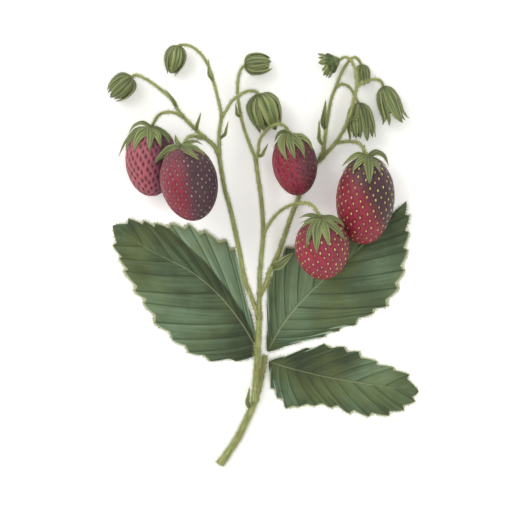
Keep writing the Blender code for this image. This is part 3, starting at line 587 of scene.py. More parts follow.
def berry_skin(number, stops, lean, pit_shade, half_width, middle):
    """Ripe strawberry skin, thin and wet over red flesh: painted light on the left, painted shade on the right and in
    the pits, a painted highlight on the ridges between the pits, greyed near the calyx.
    """
    made, tree, shader = surface(f"strawberry skin {number}")
    place = put(tree, "ShaderNodeTexCoord").outputs["Object"]
    centred = put(tree, "ShaderNodeMapping", {"Vector": place, "Location": tuple(-middle)})
    mottle = put(tree, "ShaderNodeTexNoise", {"Vector": place, "Scale": 260.0, "Detail": 4.0, "Roughness": 0.6})
    parts = put(tree, "ShaderNodeSeparateXYZ", {"Vector": centred.outputs["Vector"]})
    # Painted light and shade: the colour runs from the lit left of the berry to its shaded right, leaned up the berry
    # so that the shade also takes its top.
    leaned = put(tree, "ShaderNodeMath", {0: parts.outputs["Y"], 1: lean, 2: parts.outputs["X"]},
                 operation="MULTIPLY_ADD")
    wander = put(tree, "ShaderNodeMath", {0: mottle.outputs["Fac"], 1: 3.6 * MM, 2: leaned.outputs["Value"]},
                 operation="MULTIPLY_ADD")
    side = put(tree, "ShaderNodeMapRange", {"Value": wander.outputs["Value"], "From Min": 1.8 * MM - half_width,
               "From Max": 1.8 * MM + half_width})
    skin_lit_to_shaded = put(tree, "ShaderNodeValToRGB", {"Fac": side.outputs["Result"]}, stops=stops)
    pole = put(tree, "ShaderNodeAttribute", attribute_name="pole").outputs["Fac"]
    shoulder = put(tree, "ShaderNodeValToRGB", {"Fac": pole}, stops=[(0.0, 0.8), (0.2, 0.6), (0.42, 0.0)])
    greyed = put(tree, "ShaderNodeMix", {FACTOR: shoulder.outputs["Color"], FIRST: skin_lit_to_shaded.outputs["Color"],
                 SECOND: linear("#4f343c")}, data_type="RGBA")
    pit = put(tree, "ShaderNodeAttribute", attribute_name="pit").outputs["Fac"]
    # Painted highlight on the ridges between the pits, and painted shade in the pits themselves.
    ridge_highlight = put(tree, "ShaderNodeValToRGB", {"Fac": pit}, stops=[(0.0, 1.3), (0.12, 1.08), (0.3, 0.98)])
    skin_with_ridge_highlight = put(tree, "ShaderNodeMix", {FACTOR: 1.0, FIRST: greyed.outputs[RESULT], SECOND: ridge_highlight.outputs["Color"]},
                 data_type="RGBA", blend_type="MULTIPLY")
    dark = put(tree, "ShaderNodeValToRGB", {"Fac": pit}, stops=[(0.2, 0.0), (0.5, 0.5), (0.85, 0.92)])
    pitted = put(tree, "ShaderNodeMix", {FACTOR: dark.outputs["Color"], FIRST: skin_with_ridge_highlight.outputs[RESULT],
                 SECOND: linear(pit_shade)}, data_type="RGBA")
    speck = put(tree, "ShaderNodeValToRGB", {"Fac": mottle.outputs["Fac"]}, stops=[(0.3, 0.8), (0.7, 1.15)])
    skin = put(tree, "ShaderNodeMix", {FACTOR: 1.0, FIRST: pitted.outputs[RESULT], SECOND: speck.outputs["Color"]},
               data_type="RGBA", blend_type="MULTIPLY")
    tree.links.new(skin.outputs[RESULT], shader.inputs["Base Color"])
    grain = put(tree, "ShaderNodeTexNoise", {"Vector": place, "Scale": 2200.0, "Detail": 2.0})
    bump = put(tree, "ShaderNodeBump", {"Height": grain.outputs["Fac"], "Strength": 0.18, "Distance": 0.1 * MM})
    tree.links.new(bump.outputs["Normal"], shader.inputs["Normal"])
    rough = put(tree, "ShaderNodeMapRange", {"Value": mottle.outputs["Fac"], "To Min": 0.42, "To Max": 0.6})
    tree.links.new(rough.outputs["Result"], shader.inputs["Roughness"])
    shader.inputs["Subsurface Weight"].default_value = 0.05
    shader.inputs["Subsurface Scale"].default_value = 1.2 * MM
    shader.inputs["Specular IOR Level"].default_value = 0.4
    return made


def seed_coat(number, first, second):
    """A dry seed's hard coat, straw to brown, with a dull shine."""
    made, tree, shader = surface(f"strawberry seed coat {number}")
    spots = put(tree, "ShaderNodeTexNoise", {"Scale": 330.0, "Detail": 2.0,
                "Vector": put(tree, "ShaderNodeTexCoord").outputs["Object"]})
    coat = put(tree, "ShaderNodeValToRGB", {"Fac": spots.outputs["Fac"]}, stops=[(0.42, first), (0.58, second)])
    tree.links.new(coat.outputs["Color"], shader.inputs["Base Color"])
    bump = put(tree, "ShaderNodeBump", {"Height": spots.outputs["Fac"], "Strength": 0.2, "Distance": 0.1 * MM})
    tree.links.new(bump.outputs["Normal"], shader.inputs["Normal"])
    shader.inputs["Roughness"].default_value = 0.4
    return made


def own_frame(low, high):
    """The place of a piece that is turned about the line from low to high."""
    turn = (high - low).to_track_quat("Z", "Y").to_matrix().to_4x4()
    return Matrix.Translation((low + high) / 2) @ turn


def berry_point(length, radius, angle):
    """Radius and height of the berry's skin at an angle from its top pole."""
    out = radius * math.sin(angle) * (1 + BERRY_TAPER * math.cos(angle))
    return out, length / 2 * math.cos(angle)


def seed_places(length, radius, spacing):
    """Seeds in a spiral, the same spacing apart all over: their angle from the pole and their turn."""
    steps = 400
    belts = [berry_point(length, radius, math.pi * (k + 0.5) / steps) for k in range(steps)]
    areas = [math.tau * out * math.pi / steps * math.hypot(length / 2 * math.sin(math.pi * (k + 0.5) / steps),
                                                           radius * math.cos(math.pi * (k + 0.5) / steps))
             for k, (out, height) in enumerate(belts)]
    count = int(sum(areas) / (spacing ** 2 * 0.866))
    places, gone, belt = [], 0.0, 0
    for k in range(count):
        wanted = (k + 0.5) / count * sum(areas)
        while gone + areas[belt] < wanted:
            gone += areas[belt]
            belt += 1
        places.append((math.pi * (belt + 0.5) / steps, k * GOLDEN_TURN))
    return places


def berry(number, top, tip, radius):
    """The pitted berry and its seeds."""
    looks = SKINS[number]
    width, height = looks["pit"]
    chance = random.Random(number)
    top, tip, radius = mm(top), mm(tip), radius * MM
    length = (top - tip).length
    place = own_frame(tip, top)
    bm = bmesh.new()
    rise = [berry_point(length, radius, math.pi * k / BERRY_ROWS) for k in range(BERRY_ROWS + 1)]
    line = [bm.verts.new((abs(out) if 0 < k < BERRY_ROWS else 0.0, 0, height))
            for k, (out, height) in enumerate(rise)]
    edges = [bm.edges.new(pair) for pair in zip(line, line[1:])]
    bmesh.ops.spin(bm, geom=line + edges, cent=(0, 0, 0), axis=(0, 0, 1), angle=math.tau,
                   steps=BERRY_SIDES, use_merge=True)
    bmesh.ops.remove_doubles(bm, verts=bm.verts, dist=0.005 * MM)
    bmesh.ops.recalc_face_normals(bm, faces=bm.faces)
    bm.normal_update()
    seeds = []
    for angle, turn in seed_places(length, radius, looks["spacing"] * MM):
        angle += chance.uniform(-0.02, 0.02)
        turn += chance.uniform(-0.03, 0.03)
        out, rise_here = berry_point(length, radius, angle)
        seeds.append((Vector((out * math.cos(turn), out * math.sin(turn), rise_here)), angle, turn))
    tree = KDTree(len(seeds))
    for k, (spot, angle, turn) in enumerate(seeds):
        tree.insert(spot, k)
    tree.balance()
    pit = bm.verts.layers.float.new("pit")
    pole = bm.verts.layers.float.new("pole")
    moves = []
    for vert in bm.verts:
        spot, index, away = tree.find(vert.co)
        gap = vert.co - spot
        turn = seeds[index][2]
        aside = gap.dot(Vector((-math.sin(turn), math.cos(turn), 0)))
        endways = math.sqrt(max(0.0, away ** 2 - aside ** 2))
        depth = math.exp(-(endways / (height * MM)) ** 2 - (aside / (width * MM)) ** 2)
        vert[pit] = depth
        vert[pole] = math.acos(max(-1.0, min(1.0, vert.co.z / (length / 2)))) / math.pi
        moves.append(vert.normal * (-PIT_DEPTH * depth))
    for vert, move in zip(bm.verts, moves):
        vert.co += move
    bmesh.ops.transform(bm, matrix=place, verts=bm.verts)
    for vert in bm.verts:
        vert.co.z = max(vert.co.z, 0.02 * MM)
    skin = berry_skin(number, looks["stops"], looks["lean"], looks["pit_shade"], radius, place.translation)
    add_piece(f"berry_{number}_flesh", bm, "berry_red", [skin], f"berry_{number}")
    grains = bmesh.new()
    for spot, angle, turn in seeds:
        if angle < 0.3:
            continue
        outward = Vector((math.cos(turn) * math.sin(angle), math.sin(turn) * math.sin(angle),
                          math.cos(angle) * radius * 2 / length)).normalized()
        seat = place @ (spot - outward * (PIT_DEPTH * 0.8))
        if seat.z < 0.6 * MM:
            continue
        down = (Vector((0, 0, -1)) - outward * -outward.z).normalized()
        basis = Matrix((down.cross(outward), down, outward)).transposed().to_4x4()
        size = chance.uniform(0.85, 1.15)
        shape = Matrix.Diagonal((SEED_WIDTH * size, SEED_LENGTH * size, SEED_WIDTH * 0.8 * size, 1))
        matrix = Matrix.Translation(seat) @ place.to_3x3().to_4x4() @ basis @ shape
        bmesh.ops.create_uvsphere(grains, u_segments=8, v_segments=5, radius=1.0, matrix=matrix)
    bmesh.ops.recalc_face_normals(grains, faces=grains.faces)
    add_piece(f"berry_{number}_seeds", grains, "berry_red", [seed_coat(number, *looks["seeds"])])


for number, shape in BERRIES.items():
    berry(number, *shape)

# ======================================================================== the calyces
# Each berry hangs from a green star: five lance-shaped sepals and five narrower ones between them, joined
# round a small disc at the end of its stalk. They lie over the berry's shoulders or spread off it, dished
# along a pale midrib, with pale hairy edges.
SEPAL_ROWS, SEPAL_COLUMNS = 16, 6
SEPAL_SPRING = 16               # how far a sepal spans a hollow between two berries
SEPAL_THICKNESS = 0.22 * MM
SEPAL_LIFT = 0.75 * MM

# berry: each sepal that lies on its upper side, as its route in millimetres from the disc and its width
SEPALS = {
    1: [([(-58.0, 63.4), (-63.4, 62.6), (-68.4, 57.2), (-70.4, 53.6), (-72.4, 48.9)], 2.6),
        ([(-57.8, 62.8), (-62.8, 61.2), (-66.4, 57.6), (-68.2, 54.9), (-68.7, 51.6)], 3.4),
        ([(-57.4, 62.6), (-61.2, 60.0), (-63.4, 56.0), (-64.2, 51.4)], 4.4),
        ([(-56.4, 62.2), (-56.2, 58.6), (-56.4, 55.0), (-56.8, 51.2)], 3.4),
        ([(-55.6, 62.4), (-52.8, 59.8), (-51.6, 56.6), (-50.9, 53.2)], 3.4),
        ([(-55.0, 63.0), (-49.8, 61.2), (-47.6, 58.2), (-46.2, 54.6)], 3.0),
        ([(-57.0, 64.6), (-60.6, 66.2), (-64.6, 64.6), (-67.4, 60.6)], 2.6)],
    2: [([(-41.4, 53.6), (-44.8, 53.2), (-50.0, 49.6), (-54.6, 44.9)], 4.3),
        ([(-41.0, 54.4), (-42.4, 55.4), (-43.2, 57.2), (-43.7, 59.8)], 2.4),
        ([(-39.8, 53.6), (-36.4, 53.6), (-32.6, 52.4), (-28.6, 49.0)], 3.4),
        ([(-40.0, 53.2), (-37.4, 51.4), (-34.4, 49.2), (-31.2, 46.2)], 3.0),
        ([(-40.2, 54.2), (-37.0, 55.6), (-33.4, 56.2), (-30.0, 54.4)], 2.8)],
    3: [([(12.6, 59.9), (9.6, 58.9), (8.6, 55.9), (9.4, 51.9), (12.0, 46.1)], 3.8),
        ([(13.2, 59.3), (13.0, 56.1), (14.2, 51.5), (16.0, 47.1)], 3.6),
        ([(14.0, 59.3), (16.6, 56.9), (19.0, 53.1), (20.4, 48.3)], 3.6),
        ([(14.6, 59.7), (19.4, 59.1), (23.0, 55.9), (24.6, 51.3)], 3.2),
        ([(12.8, 60.4), (9.6, 61.5), (7.0, 59.9), (5.4, 56.1)], 2.8)],
    4: [([(50.8, 49.2), (46.8, 50.2), (42.6, 47.8), (38.8, 44.0)], 3.6),
        ([(52.6, 49.4), (56.0, 51.4), (60.0, 49.6), (62.4, 44.4)], 3.8),
        ([(51.0, 48.4), (48.0, 46.8), (45.6, 44.0), (43.9, 40.6)], 3.2),
        ([(52.0, 48.0), (52.2, 44.6), (52.4, 40.0), (52.3, 34.8)], 4.2),
        ([(52.8, 48.2), (54.8, 46.6), (56.8, 43.8), (58.1, 40.2)], 2.6),
        ([(51.6, 49.8), (50.2, 51.4), (49.8, 53.2), (50.6, 55.2)], 2.0)],
    5: [([(27.4, 18.6), (24.0, 19.8), (20.8, 19.8), (17.7, 18.4)], 2.8),
        ([(27.4, 18.0), (23.8, 17.6), (20.8, 15.8), (18.1, 12.8)], 3.2),
        ([(27.6, 17.4), (24.4, 14.2), (22.2, 9.4), (21.0, 3.2)], 3.2),
        ([(28.2, 17.2), (26.6, 12.8), (26.0, 7.0), (26.2, 0.6)], 4.6),
        ([(28.8, 17.2), (30.0, 13.2), (31.4, 8.8), (32.4, 3.8)], 4.0),
        ([(29.4, 17.6), (33.4, 15.4), (37.4, 11.6), (40.6, 6.8)], 3.8),
        ([(29.4, 18.6), (33.6, 18.8), (37.6, 17.0), (40.6, 13.6)], 3.2)],
}
# berry: how far round the back its hidden sepals stand, as turns about the berry from its own side
HIDDEN_SEPALS = (0.08, 0.19, 0.31, 0.42)


def sepal_skin(name, dark, mid, pale):
    """A sepal's skin, softly hairy and thin: darker either side of a pale midrib, with a pale edge."""
    made, tree, shader = surface(name)
    rib = put(tree, "ShaderNodeAttribute", attribute_name="rib")
    parts = put(tree, "ShaderNodeSeparateXYZ", {"Vector": rib.outputs["Vector"]})
    stretched = put(tree, "ShaderNodeMapping", {"Vector": rib.outputs["Vector"], "Scale": (3.4, 1.3, 9.0)})
    fibres = put(tree, "ShaderNodeTexNoise", {"Vector": stretched.outputs["Vector"], "Scale": 1.0, "Detail": 5.0,
                 "Roughness": 0.6})
    green = put(tree, "ShaderNodeValToRGB", {"Fac": fibres.outputs["Fac"]},
                stops=[(0.3, dark), (0.47, mid), (0.62, pale)])
    across = put(tree, "ShaderNodeMath", {0: parts.outputs["X"]}, operation="ABSOLUTE")
    veins = put(tree, "ShaderNodeValToRGB", {"Fac": across.outputs["Value"]},
                stops=[(0.0, 0.45), (0.09, 0.1), (0.2, 0.0), (0.66, 0.0), (0.84, 0.55), (1.0, 0.95)])
    ribbed = put(tree, "ShaderNodeMix", {FACTOR: veins.outputs["Color"], FIRST: green.outputs["Color"],
                 SECOND: linear("#b0b37f")}, data_type="RGBA")
    length = put(tree, "ShaderNodeValToRGB", {"Fac": parts.outputs["Y"]},
                 stops=[(0.0, 0.72), (0.3, 1.0), (0.8, 1.06), (1.0, 0.8)])
    shaded = put(tree, "ShaderNodeMix", {FACTOR: 1.0, FIRST: ribbed.outputs[RESULT],
                 SECOND: length.outputs["Color"]}, data_type="RGBA", blend_type="MULTIPLY")
    own = put(tree, "ShaderNodeMapRange", {"Value": parts.outputs["Z"], "To Min": 0.78, "To Max": 1.12})
    toned = put(tree, "ShaderNodeMix", {FACTOR: 1.0, FIRST: shaded.outputs[RESULT],
                SECOND: own.outputs["Result"]}, data_type="RGBA", blend_type="MULTIPLY")
    tree.links.new(toned.outputs[RESULT], shader.inputs["Base Color"])
    bump = put(tree, "ShaderNodeBump", {"Height": fibres.outputs["Fac"], "Strength": 0.5, "Distance": 0.2 * MM})
    tree.links.new(bump.outputs["Normal"], shader.inputs["Normal"])
    rough = put(tree, "ShaderNodeMapRange", {"Value": fibres.outputs["Fac"], "To Min": 0.5, "To Max": 0.7})
    tree.links.new(rough.outputs["Result"], shader.inputs["Roughness"])
    shader.inputs["Subsurface Weight"].default_value = 0.06
    shader.inputs["Subsurface Scale"].default_value = 0.6 * MM
    return made


def lance(along):
    """A lance-shaped blade's share of its full width, from its foot to its point."""
    return min(1.0, 0.5 + 1.6 * along) * (1 - along ** 2.1) ** 1.05


def bud_scale(along):
    """A bud's sepal, broad nearly to its end and then drawn to a point."""
    return min(1.0, 0.35 + 2.2 * along) * (1 - along ** 5) ** 0.9


def bend_sepal(bm, route, faces, width, tone, dish, outline):
    """One sheet bent along its route, each row turned to its own face and dished about the midrib."""
    last = len(route) - 1
    sheet = flat_sheet(bm, last, SEPAL_COLUMNS)
    rib = bm.verts.layers.float_vector["rib"]
    for vert in sheet:
        k = round(vert.co.x * last)
        aside, along = vert.co.y * 2 - 1, k / last
        ahead = (route[min(k + 1, last)] - route[max(k - 1, 0)]).normalized()
        face = (faces[k] - ahead * faces[k].dot(ahead)).normalized()
        half = width / 2 * outline(along)
        vert[rib] = (aside, along, tone)
        vert.co = route[k] + face.cross(ahead) * (aside * half) + face * (dish * half * aside ** 2)


def finish_sepals(bm):
    """Gives the bent sheets their thickness and keeps them off the table."""
    bmesh.ops.remove_doubles(bm, verts=bm.verts, dist=0.002 * MM)
    bmesh.ops.solidify(bm, geom=bm.faces[:], thickness=SEPAL_THICKNESS)
    bmesh.ops.recalc_face_normals(bm, faces=bm.faces)
    for vert in bm.verts:
        vert.co.z = max(vert.co.z, 0.02 * MM)


def upper_skin(top, tip, radius):
    """The upper side of a berry, read by its place seen from above: each point with its outward normal."""
    place = own_frame(tip, top)
    length = (top - tip).length
    places = []
    for j in range(1, 48):
        angle = math.pi * j / 48
        out, height = berry_point(length, radius, angle)
        for k in range(90):
            turn = math.tau * k / 90
            point = place @ Vector((out * math.cos(turn), out * math.sin(turn), height))
            normal = place.to_3x3() @ Vector((math.sin(angle) * math.cos(turn) * length / 2,
                                              math.sin(angle) * math.sin(turn) * length / 2,
                                              math.cos(angle) * radius)).normalized()
            if normal.z > -0.05:
                places.append((point, normal))
    tree = KDTree(len(places))
    for k, (point, normal) in enumerate(places):
        tree.insert((point.x, point.y, 0), k)
    tree.balance()
    return tree, places


def laid_on(number, x, y, lift):
    """The place just over the berry's skin at x and y, or over its neighbour's where the berry ends."""
    tree, places = skins[number]
    for other, (other_tree, other_places) in skins.items():
        edge_gap = tree.find((x, y, 0))[2]
        spot, k, gap = other_tree.find((x, y, 0))
        if other != number and edge_gap > 1.2 * MM and gap < 0.8 * MM:
            tree, places = other_tree, other_places
    near = tree.find_n((x, y, 0), 6)
    weights = [1 / (gap + 0.05 * MM) for spot, k, gap in near]
    height = sum(w * places[k][0].z for w, (spot, k, gap) in zip(weights, near)) / sum(weights)
    normal = Vector((0, 0, 1.1))
    for w, (spot, k, gap) in zip(weights, near):
        normal += places[k][1] * w / sum(weights)
    over = max(0.0, near[0][2] - 0.6 * MM)
    steep = 1 - max(0.0, places[near[0][1]][1].z)
    return Vector((x, y, height - 0.5 * over + lift + 1.6 * MM * steep)), normal.normalized()


def calyx_sepals(number, top, tip, radius):
    """The sepals laid on the berry, those hidden behind it, and the disc that they all grow from."""
    chance = random.Random(20 + number)
    top, tip, radius = mm(top), mm(tip), radius * MM
    place = own_frame(tip, top)
    length = (top - tip).length
    bm = bmesh.new()
    bm.verts.layers.float_vector.new("rib")
    for points, width in SEPALS[number]:
        hub = Vector((top.x, top.y, 0))
        flat = even_route([hub.lerp(mm((*points[0], 0)), 0.3), *(mm((*point, 0)) for point in points)], SEPAL_ROWS)
        route, faces = [], []
        for k, point in enumerate(flat):
            share = k / SEPAL_ROWS
            lift = SEPAL_LIFT + 0.9 * MM * math.sin(math.pi * share) ** 2 * chance.uniform(0.95, 1.05)
            spot, normal = laid_on(number, point.x, point.y, lift + 0.5 * MM * share ** 3)
            route.append(spot)
            faces.append(normal)
        lain, last = [spot.z for spot in route], len(route) - 1
        for again in range(SEPAL_SPRING):
            drawn = [(route[max(k - 1, 0)].z + route[min(k + 1, last)].z) / 2 for k in range(last + 1)]
            for spot, height, least in zip(route, drawn, lain):
                spot.z = max(least, height)
            faces = [sum(faces[max(k - 1, 0):k + 2], Vector()).normalized() for k in range(last + 1)]
        bend_sepal(bm, route, faces, width * 1.2 * MM, chance.random(), -0.22, lance)
    away = place.to_3x3().inverted() @ Vector((0, 0, -1))
    middle = math.atan2(away.y, away.x) - math.pi / 2
    for share in HIDDEN_SEPALS:
        turn = middle + math.tau * share
        route, faces = [], []
        reach = chance.uniform(0.75, 1.05)
        for k in range(SEPAL_ROWS + 1):
            angle = 0.14 + (reach - 0.14) * k / SEPAL_ROWS
            out, height = berry_point(length, radius, angle)
            lift = SEPAL_LIFT + 0.8 * MM * (k / SEPAL_ROWS) ** 3
            normal = Vector((math.sin(angle) * math.cos(turn), math.sin(angle) * math.sin(turn), math.cos(angle)))
            spot = Vector((out * math.cos(turn), out * math.sin(turn), height)) + normal * lift
            route.append(place @ spot)
            faces.append(place.to_3x3() @ normal)
        bend_sepal(bm, route, faces, chance.uniform(2.8, 3.6) * MM, chance.random(), -0.22, lance)
    finish_sepals(bm)
    rings = [(0.0, -0.5), (1.2, -0.5), (2.3, -0.9), (2.6, -0.5), (2.1, 0.3), (1.1, 0.9), (0.0, 1.0)]
    add_turned(bm, rings, place, length / 2)
    return add_piece(f"calyx_{number}_sepals", bm, "sepal_green", [SEPAL_SKIN], f"calyx_{number}")


def add_turned(bm, rings, place, height):
    """A small disc turned about the axis of its place, standing at a height on it."""
    profile = [bm.verts.new(place @ Vector((out * MM, 0, rise * MM + height))) for out, rise in rings]
    lines = [bm.edges.new(pair) for pair in zip(profile, profile[1:])]
    bmesh.ops.spin(bm, geom=profile + lines, cent=place.translation, axis=place.to_3x3() @ Vector((0, 0, 1)),
                   angle=math.tau, steps=20, use_merge=True)
    bmesh.ops.remove_doubles(bm, verts=bm.verts, dist=0.001 * MM)
    bmesh.ops.recalc_face_normals(bm, faces=bm.faces)


SEPAL_SKIN = sepal_skin("green sepal skin", "#3b4929", "#586738", "#828e50")
skins = {number: upper_skin(mm(top), mm(tip), radius * MM) for number, (top, tip, radius) in BERRIES.items()}
for number, shape in BERRIES.items():
    calyx_sepals(number, *shape)

# ======================================================================== the buds
# Green buds and young fruits: ten pointed sepals, ribbed and softly hairy, closed round a darker core and
# open at the points. The flat-headed ones hang by thin bent stalks, and one has opened like a fan.
ROUND_BUD = [(0.1, 0.0), (0.55, 0.02), (0.9, 0.16), (1.0, 0.4), (0.96, 0.64), (0.76, 0.86), (0.5, 1.0)]
POINTED_BUD = [(0.1, 0.0), (0.52, 0.03), (0.88, 0.2), (1.0, 0.4), (0.88, 0.66), (0.56, 0.87), (0.26, 1.02)]
BELL_BUD = [(0.1, 0.0), (0.62, 0.02), (0.98, 0.2), (1.06, 0.45), (0.98, 0.7), (0.8, 0.9), (0.62, 1.04)]
FAN_BUD = [(0.1, 0.0), (0.28, 0.1), (0.5, 0.3), (0.78, 0.58), (1.0, 0.82), (1.12, 1.0)]
TASSEL_BUD = [(0.1, 0.0), (0.6, 0.04), (0.92, 0.24), (1.0, 0.5), (0.92, 0.76), (0.78, 0.95), (0.72, 1.12)]
SKIRT_BUD = [(0.1, 0.0), (0.5, 0.05), (0.84, 0.22), (1.0, 0.5), (1.04, 0.75), (0.96, 0.95), (0.9, 1.1)]
DROOP_BUD = [(0.1, 0.0), (0.45, 0.06), (0.72, 0.24), (0.86, 0.5), (0.86, 0.76), (0.84, 0.98), (0.96, 1.16)]

# bud: its sepals' profile from stalk to mouth, how many, how wide each is beside its even share, how short
# those on its upper side are, where its core ends, and whether the core is the pale folded petals
BUD_LOOKS = {
    "a": (ROUND_BUD, 9, 1.0, 0.97, 0.86, False), "b": (POINTED_BUD, 9, 0.95, 0.9, 0.94, True),
    "c": (ROUND_BUD, 9, 0.95, 0.92, 0.92, True), "d": (BELL_BUD, 9, 1.2, 1.0, 0.86, False),
    "e": (FAN_BUD, 13, 1.25, 1.0, 0.5, False), "f": (TASSEL_BUD, 9, 1.05, 1.0, 0.72, False),
    "g": (SKIRT_BUD, 11, 1.0, 1.0, 0.74, False), "h": (DROOP_BUD, 9, 0.95, 1.0, 0.66, False),
}


def bud_sepals(letter, top, mouth, radius):
    """The bud's ring of sepals over a closed core."""
    chance = random.Random(ord(letter))
    profile, count, broad, short, ends, pale = BUD_LOOKS[letter]
    top, mouth, radius = mm(top), mm(mouth), radius * MM
    length = (mouth - top).length
    place = own_frame(top, mouth)
    turned = place.to_3x3()
    bm = bmesh.new()
    bm.verts.layers.float_vector.new("rib")
    for j in range(count):
        turn = math.tau * (j + chance.uniform(-0.18, 0.18)) / count
        outer = j % 2
        grown = chance.uniform(0.93, 1.07)
        if (turned @ Vector((math.cos(turn), math.sin(turn), 0))).z > 0.55:
            grown *= short
        points = [Vector((out * radius * (0.94 if outer else 1.0), 0, (rise * grown - 0.5) * length))
                  for out, rise in profile]
        line = even_route(points, SEPAL_ROWS)
        twist = chance.uniform(-0.22, 0.22)
        route, faces = [], []
        for k, point in enumerate(line):
            share = k / SEPAL_ROWS
            spun = Matrix.Rotation(turn + twist * share ** 2, 4, "Z")
            ahead = line[min(k + 1, SEPAL_ROWS)] - line[max(k - 1, 0)]
            outward = spun @ Vector((ahead.z, 0, -ahead.x)).normalized()
            flare = 0.7 * MM * share ** 6
            route.append(place @ (spun @ point + outward * (0.25 * MM * (1 - outer) + flare)))
            faces.append(turned @ outward)
        width = math.tau * radius / count * broad * (0.8 if outer else 1.3)
        bend_sepal(bm, route, faces, width, chance.random(), -0.3, bud_scale)
    finish_sepals(bm)
    add_piece(f"bud_{letter}_sepals", bm, "bud_green", [BUD_SKIN], f"bud_{letter}")
    core = bmesh.new()
    rings = [(out * 0.86 * radius / MM, (rise * ends - 0.47) * length / MM) for out, rise in profile]
    mouth_out, mouth_rise = rings[-1]
    shut = [(0.0, rings[0][1]), *rings, (mouth_out * 0.5, mouth_rise + 0.5), (0.0, mouth_rise + 0.7)]
    add_turned(core, shut, place, 0.0)
    for vert in core.verts:
        vert.co.z = max(vert.co.z, 0.02 * MM)
    add_piece(f"bud_{letter}_core", core, "bud_green", [PETAL_CORE if pale else BUD_CORE])


def bud_core(name, dark, mid, pale):
    """What a bud's sepals close over, the young fruit or the folded petals: dull green, soft and matt."""
    made, tree, shader = surface(name)
    blotch = put(tree, "ShaderNodeTexNoise", {"Scale": 420.0, "Detail": 4.0,
                 "Vector": put(tree, "ShaderNodeTexCoord").outputs["Object"]})
    green = put(tree, "ShaderNodeValToRGB", {"Fac": blotch.outputs["Fac"]},
                stops=[(0.35, dark), (0.55, mid), (0.7, pale)])
    tree.links.new(green.outputs["Color"], shader.inputs["Base Color"])
    bump = put(tree, "ShaderNodeBump", {"Height": blotch.outputs["Fac"], "Strength": 0.5, "Distance": 0.3 * MM})
    tree.links.new(bump.outputs["Normal"], shader.inputs["Normal"])
    shader.inputs["Roughness"].default_value = 0.75
    return made


BUD_SKIN = sepal_skin("green bud skin", "#384627", "#536338", "#808b50")
BUD_CORE = bud_core("young fruit in the bud", "#333f22", "#4c5a30", "#6b7a42")
PETAL_CORE = bud_core("folded petals in the bud", "#66733f", "#7f8b4e", "#9aa163")
for letter, shape in BUDS.items():
    bud_sepals(letter, *shape)

# ======================================================================== the bracts
# Small pointed leaves that clasp the stalks at their forks, thin, soft and a little folded along the
# midrib. The stipule is the same thing at the foot of the leaf's stalk.
# node: the foot, the point and the width, in millimetres
BRACTS = {
    "stipule": ((-8.2, -75.5, 4.4), (-7.0, -66.0, 5.6), 2.6),
    "bract_leafy": ((6.8, -5.8, 14.0), (15.2, 1.6, 14.6), 5.0),
    "bract_1": ((-33.6, 62.4, 21.2), (-31.0, 71.0, 22.0), 2.0),
    "bract_2": ((-43.6, 74.6, 21.0), (-49.0, 82.6, 20.0), 2.2),
    "bract_3": ((-27.0, 88.2, 16.6), (-27.4, 98.0, 15.0), 1.8),
    "bract_4": ((-19.6, 58.6, 21.0), (-17.4, 66.8, 21.8), 1.8),
    "bract_5": ((-13.0, 69.0, 13.6), (-14.0, 75.6, 14.4), 1.8),
    "bract_6": ((-1.4, 48.6, 15.2), (2.4, 55.8, 12.4), 2.0),
    "bract_7": ((28.0, 56.0, 5.2), (27.8, 68.0, 6.4), 2.2),
    "bract_8": ((29.6, 64.0, 8.2), (31.2, 78.0, 10.0), 3.2),
    "bract_9": ((45.6, 66.8, 15.6), (47.4, 76.0, 18.8), 1.8),
}


def nearest_stalk(place):
    """The nearest place on any stalk's middle line, which a bract's foot clasps."""
    lines = [curve_through([mm(p) for p in points], RING_STEP) for points, foot, end in STALKS.values()]
    return min((spot for line in lines for spot in line), key=lambda spot: (spot - place).length)


def bract(name, foot, point, width):
    """A lance-shaped sheet folded up about its midrib, a little bowed, from the stalk that it clasps."""
    foot, point = mm(foot), mm(point)
    clasped = nearest_stalk(foot - (point - foot) * 0.12)
    bow = Vector((0, 0, 0.08 * (point - foot).length))
    route = even_route([clasped, foot.lerp(point, 0.16), (foot + point) / 2 + bow, point], SEPAL_ROWS)
    bm = bmesh.new()
    bm.verts.layers.float_vector.new("rib")
    bend_sepal(bm, route, [Vector((0, 0, 1))] * len(route), width * MM, random.Random(name).random(), 0.35, lance)
    finish_sepals(bm)
    return add_piece(f"{name}_blade", bm, "sepal_green", [SEPAL_SKIN], name)


for name, shape in BRACTS.items():
    bract(name, *shape)

# ======================================================================== the hairs
# The whole green part is softly hairy: short straight pale hairs stand off the stalks, the calyces and the
# buds, and fringe the leaflets' margins.
HAIR_BASE = 0.065 * MM


def hair_glass():
    """A plant hair, dry and see-through: a pale straw green that catches the light along its length."""
    made, tree, shader = surface("pale plant hair")
    tint = put(tree, "ShaderNodeTexNoise", {"Scale": 240.0, "Vector": put(tree, "ShaderNodeTexCoord").outputs["Object"]})
    straw = put(tree, "ShaderNodeValToRGB", {"Fac": tint.outputs["Fac"]}, stops=[(0.35, "#919a5a"), (0.65, "#c6c994")])
    tree.links.new(straw.outputs["Color"], shader.inputs["Base Color"])
    bump = put(tree, "ShaderNodeBump", {"Height": tint.outputs["Fac"], "Strength": 0.1, "Distance": 0.05 * MM})
    tree.links.new(bump.outputs["Normal"], shader.inputs["Normal"])
    shader.inputs["Roughness"].default_value = 0.45
    return made


